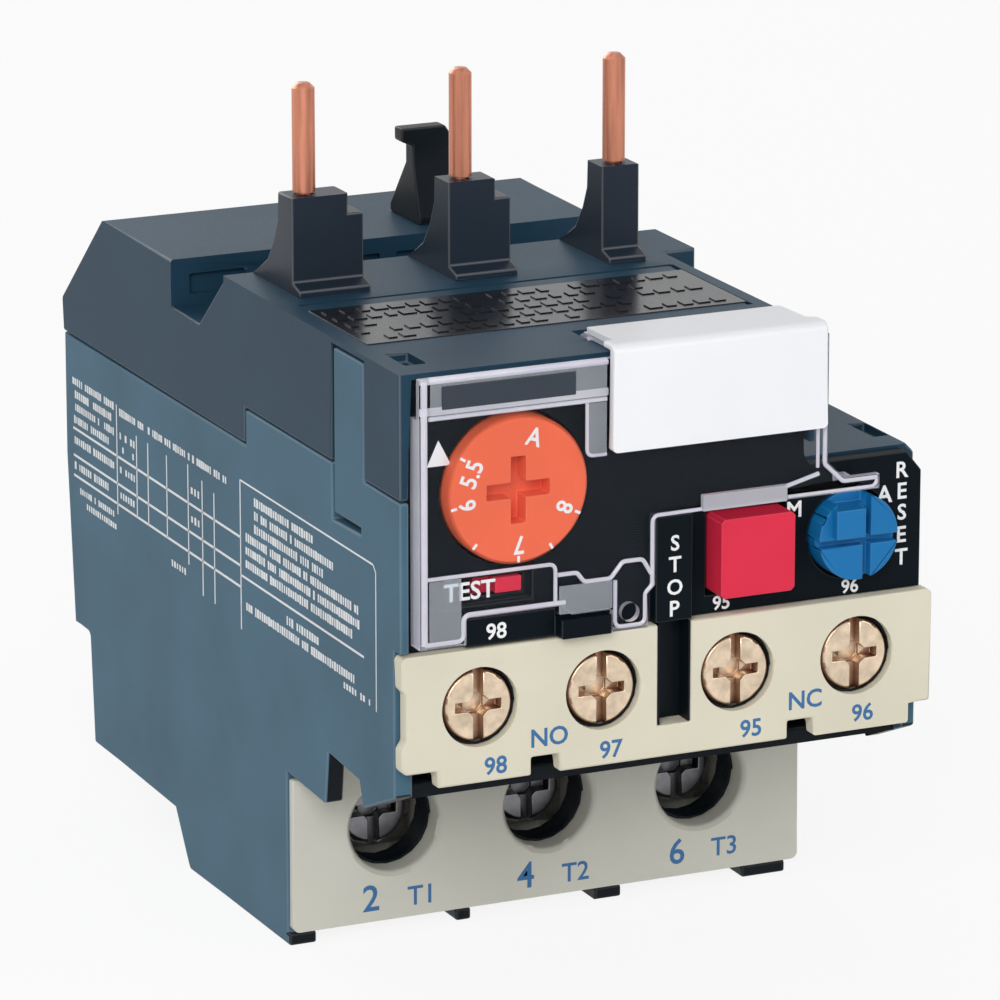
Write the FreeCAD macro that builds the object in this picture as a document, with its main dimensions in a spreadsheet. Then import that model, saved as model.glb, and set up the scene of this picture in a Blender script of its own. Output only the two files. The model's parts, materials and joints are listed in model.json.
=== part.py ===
import FreeCAD, Part
import math
import os
import re

import Sketcher
from FreeCAD import Vector

# Thermal overload relay, in millimetres. X runs left to right as seen from the front, Z runs up
# from the feet, and every sketch measures Y backwards from the front face of the control block.
# Each body's Placement then brings the middle of the relay's depth over the origin.

SIDE, FRONT, TOP = "YZ_Plane", "XZ_Plane", "XY_Plane"

DIMENSIONS = {
    "overall": {
        "half_width": 22.5, "case_depth": 70.0, "mid_depth": 34.1, "deck_z": 51.8, "rear_deck_z": 50.6,
        "low_deck_z": 41.1, "seam_z": 39.0, "front_seam_z": 41.9, "shell_gap": 0.15, "wall": 1.6,
        "edge_round": 0.6,
    },
    "lower case": {
        "foot_front_y": 22.6, "foot_rear_y": 43.0, "foot_rise": 1.0, "slope_y": 46.1, "belly_z": 4.6,
        "heel_y": 64.8, "heel_z": 14.2, "rear_low_y": 68.7, "rear_full_z": 28.6, "nose_y": 1.5,
        "nose_z": 18.4, "nose_floor_z": 17.8, "nose_floor_top": 19.1, "seam_step_y": 30.2, "tongue_y": 7.0,
        "tongue_width": 5.6, "tongue_top": 51.1, "slit": 0.5, "bay_top": 19.5, "bay_rear": 39.4,
        "bay_floor": 2.4, "side_inner": 20.8, "chamber_y": 41.0, "chamber_half": 6.3, "chamber_floor": 6.4,
    },
    "upper case": {
        "right_front_x": 12.4, "right_rear_x": 15.2, "right_step_y": 27.0, "low_deck_right": 22.0,
        "notch_y": 34.6, "notch_floor_y": 39.7, "channel_z": 46.7, "channel_rear_y": 45.5,
        "bevel_y": 60.5, "bevel_z": 42.0, "roof": 1.4, "face_y": 0.2,
    },
    "poles and terminals": {
        "pole_pitch": 13.45, "power_z": 8.9, "power_hole": 3.8, "power_front": 21.8,
        "power_face_half": 22.3, "power_top": 19.0, "power_rear": 39.0, "power_head": 3.0,
        "power_head_y": 26.2, "power_shank": 2.0, "control_inner": 5.7, "control_outer": 16.0,
        "control_z": 25.3, "control_bottom": 19.25, "control_top": 29.9, "control_face": 1.3,
        "control_hole": 3.15, "control_head": 2.9, "control_shank": 1.5, "shank_fit": 0.05,
        "blade_y": 16.4, "blade_top": 37.2,
    },
    "pins": {
        "pin_first_x": -18.35, "pin_pitch": 13.315, "pin_y": 27.8, "pin_radius": 0.9, "pin_root": 0.6,
        "pin_step_z": 59.6, "pin_top": 68.2, "pin_foot_z": 42.8, "shroud_top": 59.4,
        "shroud_front": 26.4, "shroud_rear": 29.2,
        "lead_half": 1.0, "lead_thick": 0.8, "lead_drop_y": 43.0,
    },
    "front panel": {
        "panel_y": 0.9, "panel_rear": 2.3, "panel_left": -21.6, "panel_right": 21.9, "panel_bottom": 30.0,
        "panel_top": 51.3, "dial_x": -12.9, "dial_z": 42.0, "dial_radius": 5.8, "dial_face": -0.1,
        "stop_x": 6.75, "stop_z": 34.8, "stop_half": 3.15, "stop_face": -1.3,
        "reset_x": 15.7, "reset_z": 35.0, "reset_radius": 3.4, "reset_face": -1.2, "stem": 1.8,
        "flag_x": -13.2, "flag_z": 34.35, "column_left": -1.4, "column_right": 1.7,
    },
    "cover and marker": {
        "cover_back": -0.35, "cover_thick": 0.6, "cover_left": -21.4, "cover_right": 12.8,
        "cover_top": 52.1,
        "hinge_y": 5.2, "hinge_z": 51.1, "barrel_radius": 0.9, "hinge_pin_radius": 0.45,
        "marker_left": -5.8, "marker_right": 12.3, "marker_bottom": 44.4, "marker_top": 52.75,
        "marker_front": -1.8, "marker_back": -0.98,
    },
    "mechanism": {
        "strip_y": 55.5, "strip_half": 2.5, "strip_thick": 0.45, "strip_foot": 8.6, "strip_top": 37.2,
        "winding_low": 14.0, "winding_high": 32.0, "slide_z": 35.4, "slide_high": 38.0,
        "lever_x": 14.6, "lever_y": 25.0, "carrier_y": 19.6, "carrier_z": 32.6, "guide_y": 9.0,
        "lead_z": 12.9,
    },
}

doc = FreeCAD.newDocument("thermal_overload_relay")
sheet = doc.addObject("Spreadsheet::Sheet", "Dimensions")
names = set()
pieces = []


def fill_sheet():
    row = 0
    for title, values in DIMENSIONS.items():
        row += 1
        sheet.set(f"A{row}", title)
        for name, value in values.items():
            row += 1
            sheet.set(f"A{row}", name)
            sheet.set(f"B{row}", str(value))
            sheet.setAlias(f"B{row}", name)
            names.add(name)
    doc.recompute()


def bound(size):
    """'deck_z - wall' as an expression on the sheet's cells."""
    def cell(word):
        return "Dimensions." + word.group() if word.group() in names else word.group()
    return re.sub(r"[a-z][a-z0-9_]*", cell, str(size))


def number(size):
    return float(sheet.evalExpression(bound(size)))


def new_piece(name):
    body = doc.addObject("PartDesign::Body", name)
    body.Label = name
    body.setExpression("Placement.Base.y", "-Dimensions.mid_depth")
    pieces.append(body)
    return body


def tie(sketch, kind, item, point, size):
    index = sketch.addConstraint(Sketcher.Constraint(kind, -1, 1, item, point, number(size)))
    sketch.setExpression(f"Constraints[{index}]", bound(size))


def draw_outline(sketch, corners):
    spots = [Vector(number(a), number(b), 0) for a, b in corners]
    first = sketch.GeometryCount
    for spot, after in zip(spots, spots[1:] + spots[:1]):
        sketch.addGeometry(Part.LineSegment(spot, after), False)
    for step in range(len(spots)):
        after = first + (step + 1) % len(spots)
        sketch.addConstraint(Sketcher.Constraint("Coincident", first + step, 2, after, 1))
    for step, (a, b) in enumerate(corners):
        tie(sketch, "DistanceX", first + step, 1, a)
        tie(sketch, "DistanceY", first + step, 1, b)


def draw_disc(sketch, across, up, radius):
    centre = Vector(number(across), number(up), 0)
    item = sketch.addGeometry(Part.Circle(centre, Vector(0, 0, 1), number(radius)), False)
    tie(sketch, "DistanceX", item, 3, across)
    tie(sketch, "DistanceY", item, 3, up)
    index = sketch.addConstraint(Sketcher.Constraint("Radius", item, number(radius)))
    sketch.setExpression(f"Constraints[{index}]", bound(radius))


def box(left, low, right, high):
    return [(left, low), (right, low), (right, high), (left, high)]


def box_at(across, up, half_across, half_up):
    return box(f"{across} - ({half_across})", f"{up} - ({half_up})", f"{across} + {half_across}",
               f"{up} + {half_up}")


def polygon(across, up, inner_radius, sides=12):
    """Many-sided outline whose flats touch a circle, for round shapes out of sight."""
    reach = 1 / math.cos(math.pi / sides)
    turns = [math.tau * (step + 0.5) / sides for step in range(sides)]
    return [(f"{across} + ({inner_radius}) * {reach * math.cos(turn):.5f}",
             f"{up} + ({inner_radius}) * {reach * math.sin(turn):.5f}") for turn in turns]


def sketch_on(body, plane, loops, start):
    """A sketch of outlines and discs on the body's own plane, moved along that plane's axis."""
    face = next(item for item in body.Origin.OriginFeatures if item.Role == plane)
    sketch = body.newObject("Sketcher::SketchObject", "Sketch")
    sketch.AttachmentSupport = [(face, "")]
    sketch.MapMode = "FlatFace"
    sign = "-1 * " if plane == FRONT else ""
    sketch.setExpression("AttachmentOffset.Base.z", f"{sign}({bound(start)})")
    for loop in loops:
        if len(loop) == 3 and not isinstance(loop[0], tuple):
            draw_disc(sketch, *loop)
        else:
            draw_outline(sketch, loop)
    return sketch


def grow(body, plane, loops, start, end):
    """Add material from start to end along X, Y or Z."""
    pad = body.newObject("PartDesign::Pad", "Pad")
    pad.Profile = sketch_on(body, plane, loops, start)
    pad.setExpression("Length", f"({bound(end)}) - ({bound(start)})")
    pad.Reversed = plane == FRONT
    doc.recompute()


def cut(body, plane, loops, start, end):
    """Take material away from start to end along X, Y or Z."""
    before = body.Shape.Volume
    pocket = body.newObject("PartDesign::Pocket", "Pocket")
    pocket.Profile = sketch_on(body, plane, loops, start)
    pocket.setExpression("Length", f"({bound(end)}) - ({bound(start)})")
    pocket.Reversed = plane != FRONT
    doc.recompute()
    if body.Shape.Volume > before - 1e-4:
        raise RuntimeError(f"a pocket in {body.Label} cuts nothing")


def edges_where(shape, along, near):
    """Names of the straight edges along an axis whose other coordinates are near the given ones."""
    found = []
    for index, edge in enumerate(shape.Edges, 1):
        bounds = edge.BoundBox
        spans = {"x": bounds.XLength, "y": bounds.YLength, "z": bounds.ZLength}
        middle = {"x": bounds.Center.x, "y": bounds.Center.y, "z": bounds.Center.z}
        if spans[along] < 0.2 or any(spans[other] > 0.01 for other in "xyz".replace(along, "")):
            continue
        for spot in near:
            if all(abs(middle[axis] - number(size)) < 0.05 for axis, size in spot.items()):
                found.append(f"Edge{index}")
                break
    return found


def ease(body, along, near, size, kind="Fillet"):
    """Round or chamfer straight edges of the body."""
    base = body.Tip
    shape = base.Shape.copy()
    edges = edges_where(shape, along, near)
    if not edges:
        raise RuntimeError(f"no edge to ease in {body.Label}")
    feature = body.newObject(f"PartDesign::{kind}", kind)
    feature.Base = (base, edges)
    feature.setExpression("Radius" if kind == "Fillet" else "Size", bound(size))
    doc.recompute()


def rim(body, round_edges, size, kind="Chamfer"):
    """Chamfer or round the circular edges at given heights along an axis: (axis, place, radius)."""
    base = body.Tip
    found = []
    for index, edge in enumerate(base.Shape.Edges, 1):
        if not isinstance(edge.Curve, Part.Circle):
            continue
        for axis, place, radius in round_edges:
            centre = getattr(edge.BoundBox.Center, axis)
            if abs(centre - number(place)) < 0.02 and abs(edge.Curve.Radius - number(radius)) < 0.02:
                found.append(f"Edge{index}")
    feature = body.newObject(f"PartDesign::{kind}", kind)
    feature.Base = (base, found)
    feature.setExpression("Radius" if kind == "Fillet" else "Size", bound(size))
    doc.recompute()


POLES = ["-1 * pole_pitch", "0", "pole_pitch"]
PINS = ["pin_first_x", "pin_first_x + pin_pitch", "pin_first_x + 2 * pin_pitch"]
CONTROLS = ["-1 * control_outer", "-1 * control_inner", "control_inner", "control_outer"]
RIBS = [("-1 * half_width", "-20.2"), ("-8.1", "-6.8"), ("4.2", "6.5"), ("17.4", "21.3")]


def make_lower_case():
    body = new_piece("lower_case")
    grow(body, SIDE, [[
        ("foot_front_y", "foot_rise"), ("slope_y - 2.4", "foot_rise"), ("slope_y", "belly_z"),
        ("heel_y - 0.5", "belly_z"), ("heel_y", "heel_z"), ("rear_low_y", "heel_z"),
        ("case_depth", "rear_full_z"), ("case_depth", "seam_z"), ("foot_front_y", "seam_z"),
    ]], "-1 * half_width", "half_width")
    # Side walls of the nose, with the ragged lower edge; the left one carries the seam's step and
    # the snap tongue that holds the two shells together.
    ragged = [("nose_y", "nose_z"), ("7.4", "15.9"), ("8.2", "17.9"), ("14.3", "18.4"), ("14.9", "14.0"),
              ("foot_front_y + 1", "14.4")]
    tongue_rear = "tongue_y + tongue_width"
    grow(body, SIDE, [ragged + [
        ("seam_step_y", "seam_z - 1"), ("seam_step_y", "front_seam_z"),
        (f"{tongue_rear} + slit", "front_seam_z"), (f"{tongue_rear} + slit", "37.4"), ("7.6", "37.6"),
        ("7.6", "38.1"), (tongue_rear, "38.1"), (tongue_rear, "tongue_top"), ("tongue_y", "tongue_top"),
        ("tongue_y", "front_seam_z"), ("face_y", "front_seam_z"), ("face_y", "panel_bottom + 0.1"),
        ("nose_y", "panel_bottom + 0.1"),
    ]], "-1 * half_width", "-1 * half_width + wall")
    grow(body, SIDE, [ragged + [
        ("foot_front_y + 1", "seam_z"), ("panel_rear + 0.05", "seam_z"),
        ("panel_rear + 0.05", "panel_bottom - 0.1"), ("nose_y", "panel_bottom - 0.1"),
    ]], "side_inner", "low_deck_right")
    cut(body, TOP, [box("panel_left - 0.1", "-1", "-1 * half_width + wall + 0.1", "panel_rear + 0.1")],
        "panel_bottom - 0.05", "front_seam_z + 1")
    # Floor of the nose, feet ribs, then the hollow spaces.
    grow(body, TOP, [box("-1 * side_inner - 0.1", "nose_y + 1.3", "side_inner + 0.1", "foot_front_y + 1")],
         "nose_floor_z", "nose_floor_top")
    grow(body, SIDE, [[
        ("foot_front_y - 0.6", "0"), ("foot_rear_y", "0"), ("slope_y - 2.2", "foot_rise + 0.3"),
        ("foot_front_y", "foot_rise + 0.3"), ("foot_front_y", "foot_rise"),
        ("foot_front_y - 0.6", "foot_rise"),
    ]], "-1 * half_width", "21.3")
    between = [(RIBS[step][1], RIBS[step + 1][0]) for step in range(3)]
    cut(body, TOP, [box(left, "foot_front_y - 1", right, "slope_y") for left, right in between],
        "-1", "foot_rise")
    cut(body, FRONT, [box("-1 * side_inner", "bay_floor", "side_inner", "bay_top")],
        "power_front - 1", "bay_rear")
    cut(body, TOP, [box("-1 * side_inner", "foot_front_y - 1", "side_inner", "bay_rear")],
        "bay_top + 1.3", "seam_z + 5")
    cut(body, TOP, [box_at(pole, "30.4", "4.4", "2.6") for pole in POLES], "0", "bay_floor + 0.5")
    chamber = [("chamber_y", "chamber_floor"), ("heel_y - 2", "chamber_floor"),
               ("heel_y - 1.6", "heel_z + 1.6"),
               ("rear_low_y - 1.4", "heel_z + 1.6"), ("case_depth - wall", "rear_full_z"),
               ("case_depth - wall", "seam_z + 5"), ("chamber_y", "seam_z + 5")]
    for pole in POLES:
        cut(body, SIDE, [chamber], f"{pole} - chamber_half", f"{pole} + chamber_half")
    # Ways through the inner walls for the load leads, the slide's bar and the slide's arm.
    cut(body, FRONT, [box_at(pole, "lead_z", "2.8", "0.8") for pole in POLES],
        "bay_rear - 1", "chamber_y + 1")
    cut(body, TOP, [box("-19.5", "58.3", "19.6", "61.0")], "slide_z - 0.05", "seam_z + 5")
    cut(body, TOP, [box("16.3", "bay_rear - 1", "19.6", "chamber_y + 1")], "slide_z - 0.05", "seam_z + 5")
    # Guide wall for the stems of the two buttons, and ledges that the contact carrier slides on.
    grow(body, FRONT, [box("2.6", "30.0", "side_inner + 0.1", "seam_z - 0.2"),
                       polygon("stop_x", "stop_z", "stem + 0.15"),
                       polygon("reset_x", "reset_z", "stem + 0.15")], "guide_y", "guide_y + 1.2")
    grow(body, TOP, [box("-1 * side_inner - 0.2", "17.5", "-18.9", "25.4"),
                     box("18.9", "17.5", "side_inner + 0.1", "25.4")], "31.2", "carrier_z - 0.05")
    ease(body, "z", [{"x": f"{side} * half_width", "y": "case_depth"} for side in (-1, 1)], "edge_round")
    ease(body, "x", [{"y": "foot_rear_y", "z": "0"}, {"y": "heel_y", "z": "heel_z"}], "edge_round")
    return body


def make_upper_case():
    body = new_piece("upper_case")
    step_z = "front_seam_z + shell_gap"
    grow(body, SIDE, [[
        ("face_y", "low_deck_z"), ("face_y", "deck_z"), ("notch_y", "deck_z"), ("notch_y", "deck_z - 0.6"),
        ("notch_floor_y", "channel_z"), ("channel_rear_y", "channel_z"), ("channel_rear_y", "rear_deck_z"),
        ("bevel_y", "rear_deck_z"), ("case_depth", "bevel_z"), ("case_depth", "seam_z + shell_gap"),
        ("seam_step_y + 0.3", "seam_z + shell_gap"), ("seam_step_y + 0.3", "low_deck_z"),
    ]], "-1 * half_width", "right_rear_x")
    grow(body, SIDE, [[
        ("panel_rear + 0.05", "low_deck_z - 1.6"), ("panel_rear + 0.05", "low_deck_z"),
        ("case_depth - 2.6", "low_deck_z"),
        ("case_depth - 0.4", "seam_z + 1"), ("case_depth - 0.4", "seam_z + shell_gap"),
        ("foot_front_y", "seam_z + shell_gap"), ("foot_front_y", "low_deck_z - 1.6"),
    ]], "-14", "low_deck_right")
    cut(body, TOP, [box("right_front_x", "-1", "right_rear_x + 1", "right_step_y")],
        "low_deck_z", "deck_z + 1")
    # Left wall follows the seam, with a window for the snap tongue.
    cut(body, SIDE, [box("-1", "low_deck_z - 2", "seam_step_y + 0.3", step_z)],
        "-1 * half_width - 1", "-14")
    window = box("tongue_y - 0.12", "front_seam_z - 1",
                 "tongue_y + tongue_width + slit", "tongue_top + 0.3")
    cut(body, SIDE, [window], "-1 * half_width - 1", "-1 * half_width + wall + 0.3")
    hollow = [("3.0", "seam_z - 2"), ("3.0", "deck_z - roof"), ("notch_y - 0.4", "deck_z - roof"),
              ("notch_floor_y - 0.6", "channel_z - roof"), ("channel_rear_y + roof", "channel_z - roof"),
              ("channel_rear_y + roof", "rear_deck_z - roof"), ("bevel_y - 0.5", "rear_deck_z - roof"),
              ("case_depth - wall", "bevel_z - 0.7"), ("case_depth - wall", "seam_z - 2")]
    cut(body, SIDE, [hollow], "-1 * half_width + wall", "right_front_x - roof")
    # Rear windows' strips in the channel's back wall, and the front opening for the panel.
    cut(body, FRONT, [box("-1 * half_width + wall", "channel_z + 0.9", "-16.0", "channel_z + 2.6"),
                      box("-14.6", "channel_z + 0.9", "-4.2", "channel_z + 2.6"),
                      box("-2.8", "channel_z + 0.9", "5.6", "channel_z + 2.6")],
        "channel_rear_y - 0.1", "channel_rear_y + 0.5")
    opening = box("panel_left - 0.1", "front_seam_z - 3", "right_front_x - 0.7", "panel_top + 0.05")
    cut(body, FRONT, [opening], "-1", "3.2")
    cut(body, FRONT, [box("right_front_x - 2", "front_seam_z - 3", "right_rear_x", "low_deck_z + 1.8")],
        "-1", "panel_rear + 0.05")
    cut(body, TOP, [box("-20.9", "2.7", "-19.1", "6.3")], "deck_z - 0.8", "deck_z + 1")
    cut(body, TOP, [box("marker_left + 0.6", "hinge_y - 1.2", "right_front_x - 0.9", "hinge_y + 1.85")],
        "hinge_z - 1.1", "deck_z + 1")
    cut(body, SIDE, [("hinge_y", "hinge_z", "hinge_pin_radius + 0.02")],
        "marker_left", "right_front_x - 0.3")
    cut(body, TOP, [box("20.0", "5.3", "21.2", "9.2")], "low_deck_z - 0.8", "low_deck_z + 1")
    # Label field on the deck, a step of a few tenths bordered by a groove.
    cut(body, TOP, [box("-20.9", "22.6", "11.2", "23.1"), box("10.7", "8.8", "11.2", "22.6")],
        "deck_z - 0.5", "deck_z + 1")
    cut(body, TOP, [polygon(pin, "pin_y", "pin_root + shank_fit", 8) for pin in PINS],
        "deck_z - 3", "deck_z + 1")
    ease(body, "y", [{"x": "low_deck_right", "z": "low_deck_z"}], "0.7", "Chamfer")
    ease(body, "z", [{"x": "right_front_x", "y": "face_y"}], "edge_round")
    ease(body, "x", [{"y": "case_depth", "z": "bevel_z"}, {"y": "bevel_y", "z": "rear_deck_z"}],
         "edge_round")
    return body


def make_panel():
    body = new_piece("fascia_panel")
    front, rear = "panel_y", "panel_rear"
    grow(body, FRONT, [[
        ("panel_left", "panel_bottom"), ("panel_right", "panel_bottom"),
        ("panel_right", "low_deck_z - 1.8"), ("20.6", "low_deck_z - 0.2"), ("12.2", "low_deck_z - 0.2"),
        ("right_front_x - 0.8", "low_deck_z + 0.4"), ("right_front_x - 0.8", "panel_top"),
        ("panel_left", "panel_top"),
    ]], front, rear)
    # Column between the two halves, sealing lug under the cover's lower edge.
    grow(body, FRONT, [box("column_left", "30.1", "column_right", "38.5")], "-0.2", front)
    grow(body, FRONT, [box("-17.2", "30.1", "-9.7", "32.3")], "0.1", front)
    grow(body, FRONT, [box("-9.7", "30.1", "-5.5", "31.6")], "-1.1", front)
    cut(body, FRONT, [("dial_x", "dial_z", "dial_radius + 0.25")], "-2", rear)
    cut(body, FRONT, [box_at("stop_x", "stop_z", "stop_half + 0.25", "stop_half + 0.25")], "-2", rear)
    cut(body, FRONT, [("reset_x", "reset_z", "reset_radius + 0.25")], "-2", rear)
    cut(body, FRONT, [box("-20.6", "33.1", "-11.3", "35.6")], "-2", "panel_y + 0.5")
    cut(body, FRONT, [box("flag_x - 3.7", "flag_z - 0.75", "flag_x + 1.3", "flag_z + 0.75")], "-2", rear)
    cut(body, TOP, [("-7.6", "-0.1", "0.45")], "29", "33")
    ease(body, "y", [{"x": "right_front_x - 0.8", "z": "low_deck_z + 0.4"}], "1.2")
    # Shelf that the trip flag slides on.
    grow(body, FRONT, [box("-20.0", "31.7", "-9.0", "flag_z - 1.65")], rear, f"{rear} + 1.6")
    # Tube behind the dial hole, which guides the dial's shaft, and guides of the two stems.
    tube = polygon("dial_x", "dial_z", "dial_radius + 0.9")
    grow(body, FRONT, [tube, polygon("dial_x", "dial_z", "dial_radius + 0.25")], rear, f"{rear} + 1.6")
    grow(body, FRONT, [tube, polygon("dial_x", "dial_z", "1.55")], f"{rear} + 1.6", f"{rear} + 2.6")
    return body


def make_control_block():
    body = new_piece("control_terminal_block")
    grow(body, FRONT, [[
        ("-19.5", "control_bottom"), ("-11.7", "control_bottom"), ("-11.7", "20.7"), ("-9.35", "20.7"),
        ("-9.35", "control_bottom"), ("10.1", "control_bottom"), ("10.1", "20.7"), ("12.3", "20.7"),
        ("12.3", "control_bottom"), ("20.6", "control_bottom"), ("20.6", "20.8"), ("half_width", "20.8"),
        ("half_width", "control_top"), ("-1 * half_width", "control_top"), ("-1 * half_width", "27.4"),
        ("-22.1", "27.0"), ("-22.1", "23.2"), ("-1 * half_width", "22.6"), ("-1 * half_width", "21.0"),
        ("-22.1", "20.6"), ("-19.5", "20.6"),
    ]], "0", "control_face")
    grow(body, FRONT, [box("-1 * side_inner + 0.15", "20.7", "side_inner - 0.15", "control_top - 0.3")],
         "control_face", "15.0")
    cut(body, FRONT, [(spot, "control_z", "control_hole") for spot in CONTROLS], "-1", "3.0")
    # Central slot, then a chamber behind each well that is open below for the wire.
    cut(body, FRONT, [box("-1.06", "21.8", "1.73", "control_top + 1")], "-1", "control_face + 0.6")
    cut(body, FRONT, [box_at(spot, "control_z", "3.4", "3.1") for spot in CONTROLS], "1.15", "12.8")
    cut(body, TOP, [box_at(spot, "4.5", "1.7", "1.4") for spot in CONTROLS], "20", "24")
    cut(body, FRONT, [box_at(spot, "control_z", "2.0", "0.9") for spot in CONTROLS], "12", "16")
    ease(body, "y", [{"x": f"{side} * half_width", "z": "control_top"} for side in (-1, 1)], "0.5")
    return body


def make_power_block():
    body = new_piece("power_terminal_block")
    grow(body, FRONT, [[
        ("-1 * power_face_half", "foot_rise + 0.1"), ("power_face_half", "foot_rise + 0.1"),
        ("power_face_half", "13.8"), ("side_inner - 0.2", "13.8"), ("side_inner - 0.2", "power_top"),
        ("-1 * side_inner + 0.2", "power_top"), ("-1 * side_inner + 0.2", "13.8"),
        ("-1 * power_face_half", "13.8"),
    ]], "power_front", "foot_front_y - 0.05")
    grow(body, FRONT, [box("-1 * side_inner + 0.2", "bay_floor + 0.15", "side_inner - 0.2", "power_top")],
         "foot_front_y - 0.05", "power_rear")
    cut(body, FRONT, [(pole, "power_z", "power_hole") for pole in POLES], "power_front - 1", "29.0")
    cut(body, FRONT, [box_at(pole, "power_z", "4.5", "4.6") for pole in POLES],
        "power_head_y - 0.2", "35.6")
    cut(body, TOP, [box_at(pole, "30.4", "4.2", "2.4") for pole in POLES], "0", "8")
    cut(body, FRONT, [polygon(pole, "power_z", "power_shank + 0.3") for pole in POLES],
        "35", "power_rear - 1.2")
    cut(body, FRONT, [box_at(pole, "lead_z", "2.7", "0.65") for pole in POLES], "35", "power_rear + 1")
    rim(body, [("y", "power_front", "power_hole")], "0.45")
    ease(body, "y", [{"x": f"{side} * power_face_half", "z": "foot_rise + 0.1"} for side in (-1, 1)], "0.6")
    return body


def make_cover():
    body = new_piece("front_cover")
    front, back = "cover_back - cover_thick", "cover_back"
    outline = [
        ("cover_left", "30.6"), ("-17.5", "30.6"), ("-17.5", "32.7"), ("-9.6", "32.7"), ("-8.8", "31.9"),
        ("-5.4", "31.9"), ("-5.4", "30.15"), ("-2.4", "30.15"), ("-2.4", "32.8"), ("-1.8", "33.4"),
        ("-1.8", "38.8"), ("17.3", "38.8"), ("17.3", "40.0"), ("14.2", "40.0"), ("cover_right", "41.4"),
        ("cover_right", "cover_top - 0.5"), ("cover_left", "cover_top - 0.5"),
    ]
    grow(body, FRONT, [outline], front, back)
    # Standing rims down the left side and along the top, the finger over the reset knob.
    grow(body, FRONT, [box("cover_left", "30.6", "cover_left + 0.8", "48.4")], back, "panel_y - 0.1")
    grow(body, FRONT, [box("cover_left", "48.8", "marker_left - 0.1", "49.4"),
                       box("cover_left", "cover_top - 0.9", "marker_left - 0.1", "cover_top - 0.5")],
         f"{front} - 0.15", back)
    grow(body, FRONT, [box("14.0", "38.9", "15.1", "40.0")], back, "panel_y - 0.15")
    grow(body, FRONT, [box("2.0", "38.8", "9.2", "40.1")], f"{front} - 0.35", front)
    # Hinge leaf over the deck and the barrel that turns on the steel pin.
    grow(body, SIDE, [[
        (front, "deck_z - 0.3"), (back, "deck_z - 0.3"), (back, "deck_z + 0.05"),
        ("hinge_y", "deck_z + 0.05"),
        ("hinge_y", "deck_z + 0.35"), (front, "deck_z + 0.35"),
    ]], "marker_left + 0.8", "right_front_x - 1.1")
    grow(body, SIDE, [("hinge_y", "hinge_z", "barrel_radius")], "marker_left + 0.8", "right_front_x - 1.1")
    cut(body, SIDE, [("hinge_y", "hinge_z", "hinge_pin_radius + shank_fit")],
        "marker_left", "right_front_x")
    cut(body, FRONT, [("-3.9", "31.5", "0.75")], f"{front} - 1", back)
    return body


def make_marker():
    body = new_piece("marker_plate")
    grow(body, SIDE, [[
        ("marker_front", "marker_bottom"), ("marker_back", "marker_bottom"),
        ("marker_back", "deck_z + 0.4"), ("4.8", "deck_z + 0.4"),
        ("4.8", "marker_top - 0.15"), ("marker_front + 0.5", "marker_top"),
        ("marker_front", "marker_top - 0.4"),
    ]], "marker_left", "marker_right")
    cut(body, TOP, [box(edge, "0.2", other, "5.5") for edge, other in
                    (("marker_left - 1", "marker_left + 0.8"), ("marker_right - 0.9", "marker_right + 1"))],
        "deck_z - 1", "marker_top + 1")
    ease(body, "y", [{"x": f"marker_{side}", "z": "marker_bottom"} for side in ("left", "right")], "0.4")
    return body


def make_hinge_pin():
    body = new_piece("cover_hinge_pin")
    grow(body, SIDE, [("hinge_y", "hinge_z", "hinge_pin_radius")],
         "marker_left + 0.1", "right_front_x - 0.4")
    return body


def cross_recess(body, across, up, reach, half_slot, face, depth):
    cut(body, FRONT, [box_at(across, up, reach, half_slot)], face, f"{face} + {depth}")
    cut(body, FRONT, [box_at(across, up, half_slot, reach)], face, f"{face} + {depth}")


def driver_slot(screw, across, up, head, half_slot, face):
    """Upright slot across the whole head, and a shorter cross for a pointed driver."""
    cut(screw, FRONT, [box_at(across, up, half_slot, head)], face, f"{face} + 0.9")
    cut(screw, FRONT, [box_at(across, up, f"{head} * 0.66", half_slot)], face, f"{face} + 1.1")
    cut(screw, FRONT, [polygon(across, up, f"{head} * 0.3", 8)], face, f"{face} + 1.4")


def make_dial():
    body = new_piece("setting_dial")
    grow(body, FRONT, [("dial_x", "dial_z", "dial_radius")], "dial_face", "panel_rear + 1.4")
    cross_recess(body, "dial_x", "dial_z", "2.6", "0.6", "dial_face", "1.6")
    rim(body, [("y", "dial_face", "dial_radius")], "0.25")
    cam = new_piece("dial_cam")
    start = "panel_rear + 1.4"
    grow(cam, FRONT, [polygon("dial_x", "dial_z", "1.45")], start, f"{start} + 5.2")
    grow(cam, FRONT, [polygon("dial_x + 1.0", "dial_z", "3.4")], f"{start} + 3.4", f"{start} + 5.2")


def make_spring(name, across, up, start):
    """Return spring of a button: four turns round the stem, joined by short bridges."""
    spring = new_piece(name)
    for turn in range(4):
        begin = f"{start} + {turn} * 0.9"
        grow(spring, FRONT, [polygon(across, up, "stem + 0.7", 8), polygon(across, up, "stem + 0.1", 8)],
             begin, f"{begin} + 0.5")
        if turn:
            grow(spring, FRONT, [box_at(across, f"{up} + stem + 0.4", "0.5", "0.25")],
                 f"{begin} - 0.45", f"{begin} + 0.1")


def make_stop_button():
    body = new_piece("stop_button")
    grow(body, FRONT, [box_at("stop_x", "stop_z", "stop_half", "stop_half")], "stop_face", "3.4")
    grow(body, FRONT, [polygon("stop_x", "stop_z", "stem * 0.96")], "3.4", "11.2")
    ease(body, "y", [{"x": f"stop_x + {a} * stop_half", "z": f"stop_z + {b} * stop_half"}
                     for a in (-1, 1) for b in (-1, 1)], "0.3", "Chamfer")
    make_spring("stop_spring", "stop_x", "stop_z", "3.4")


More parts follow.
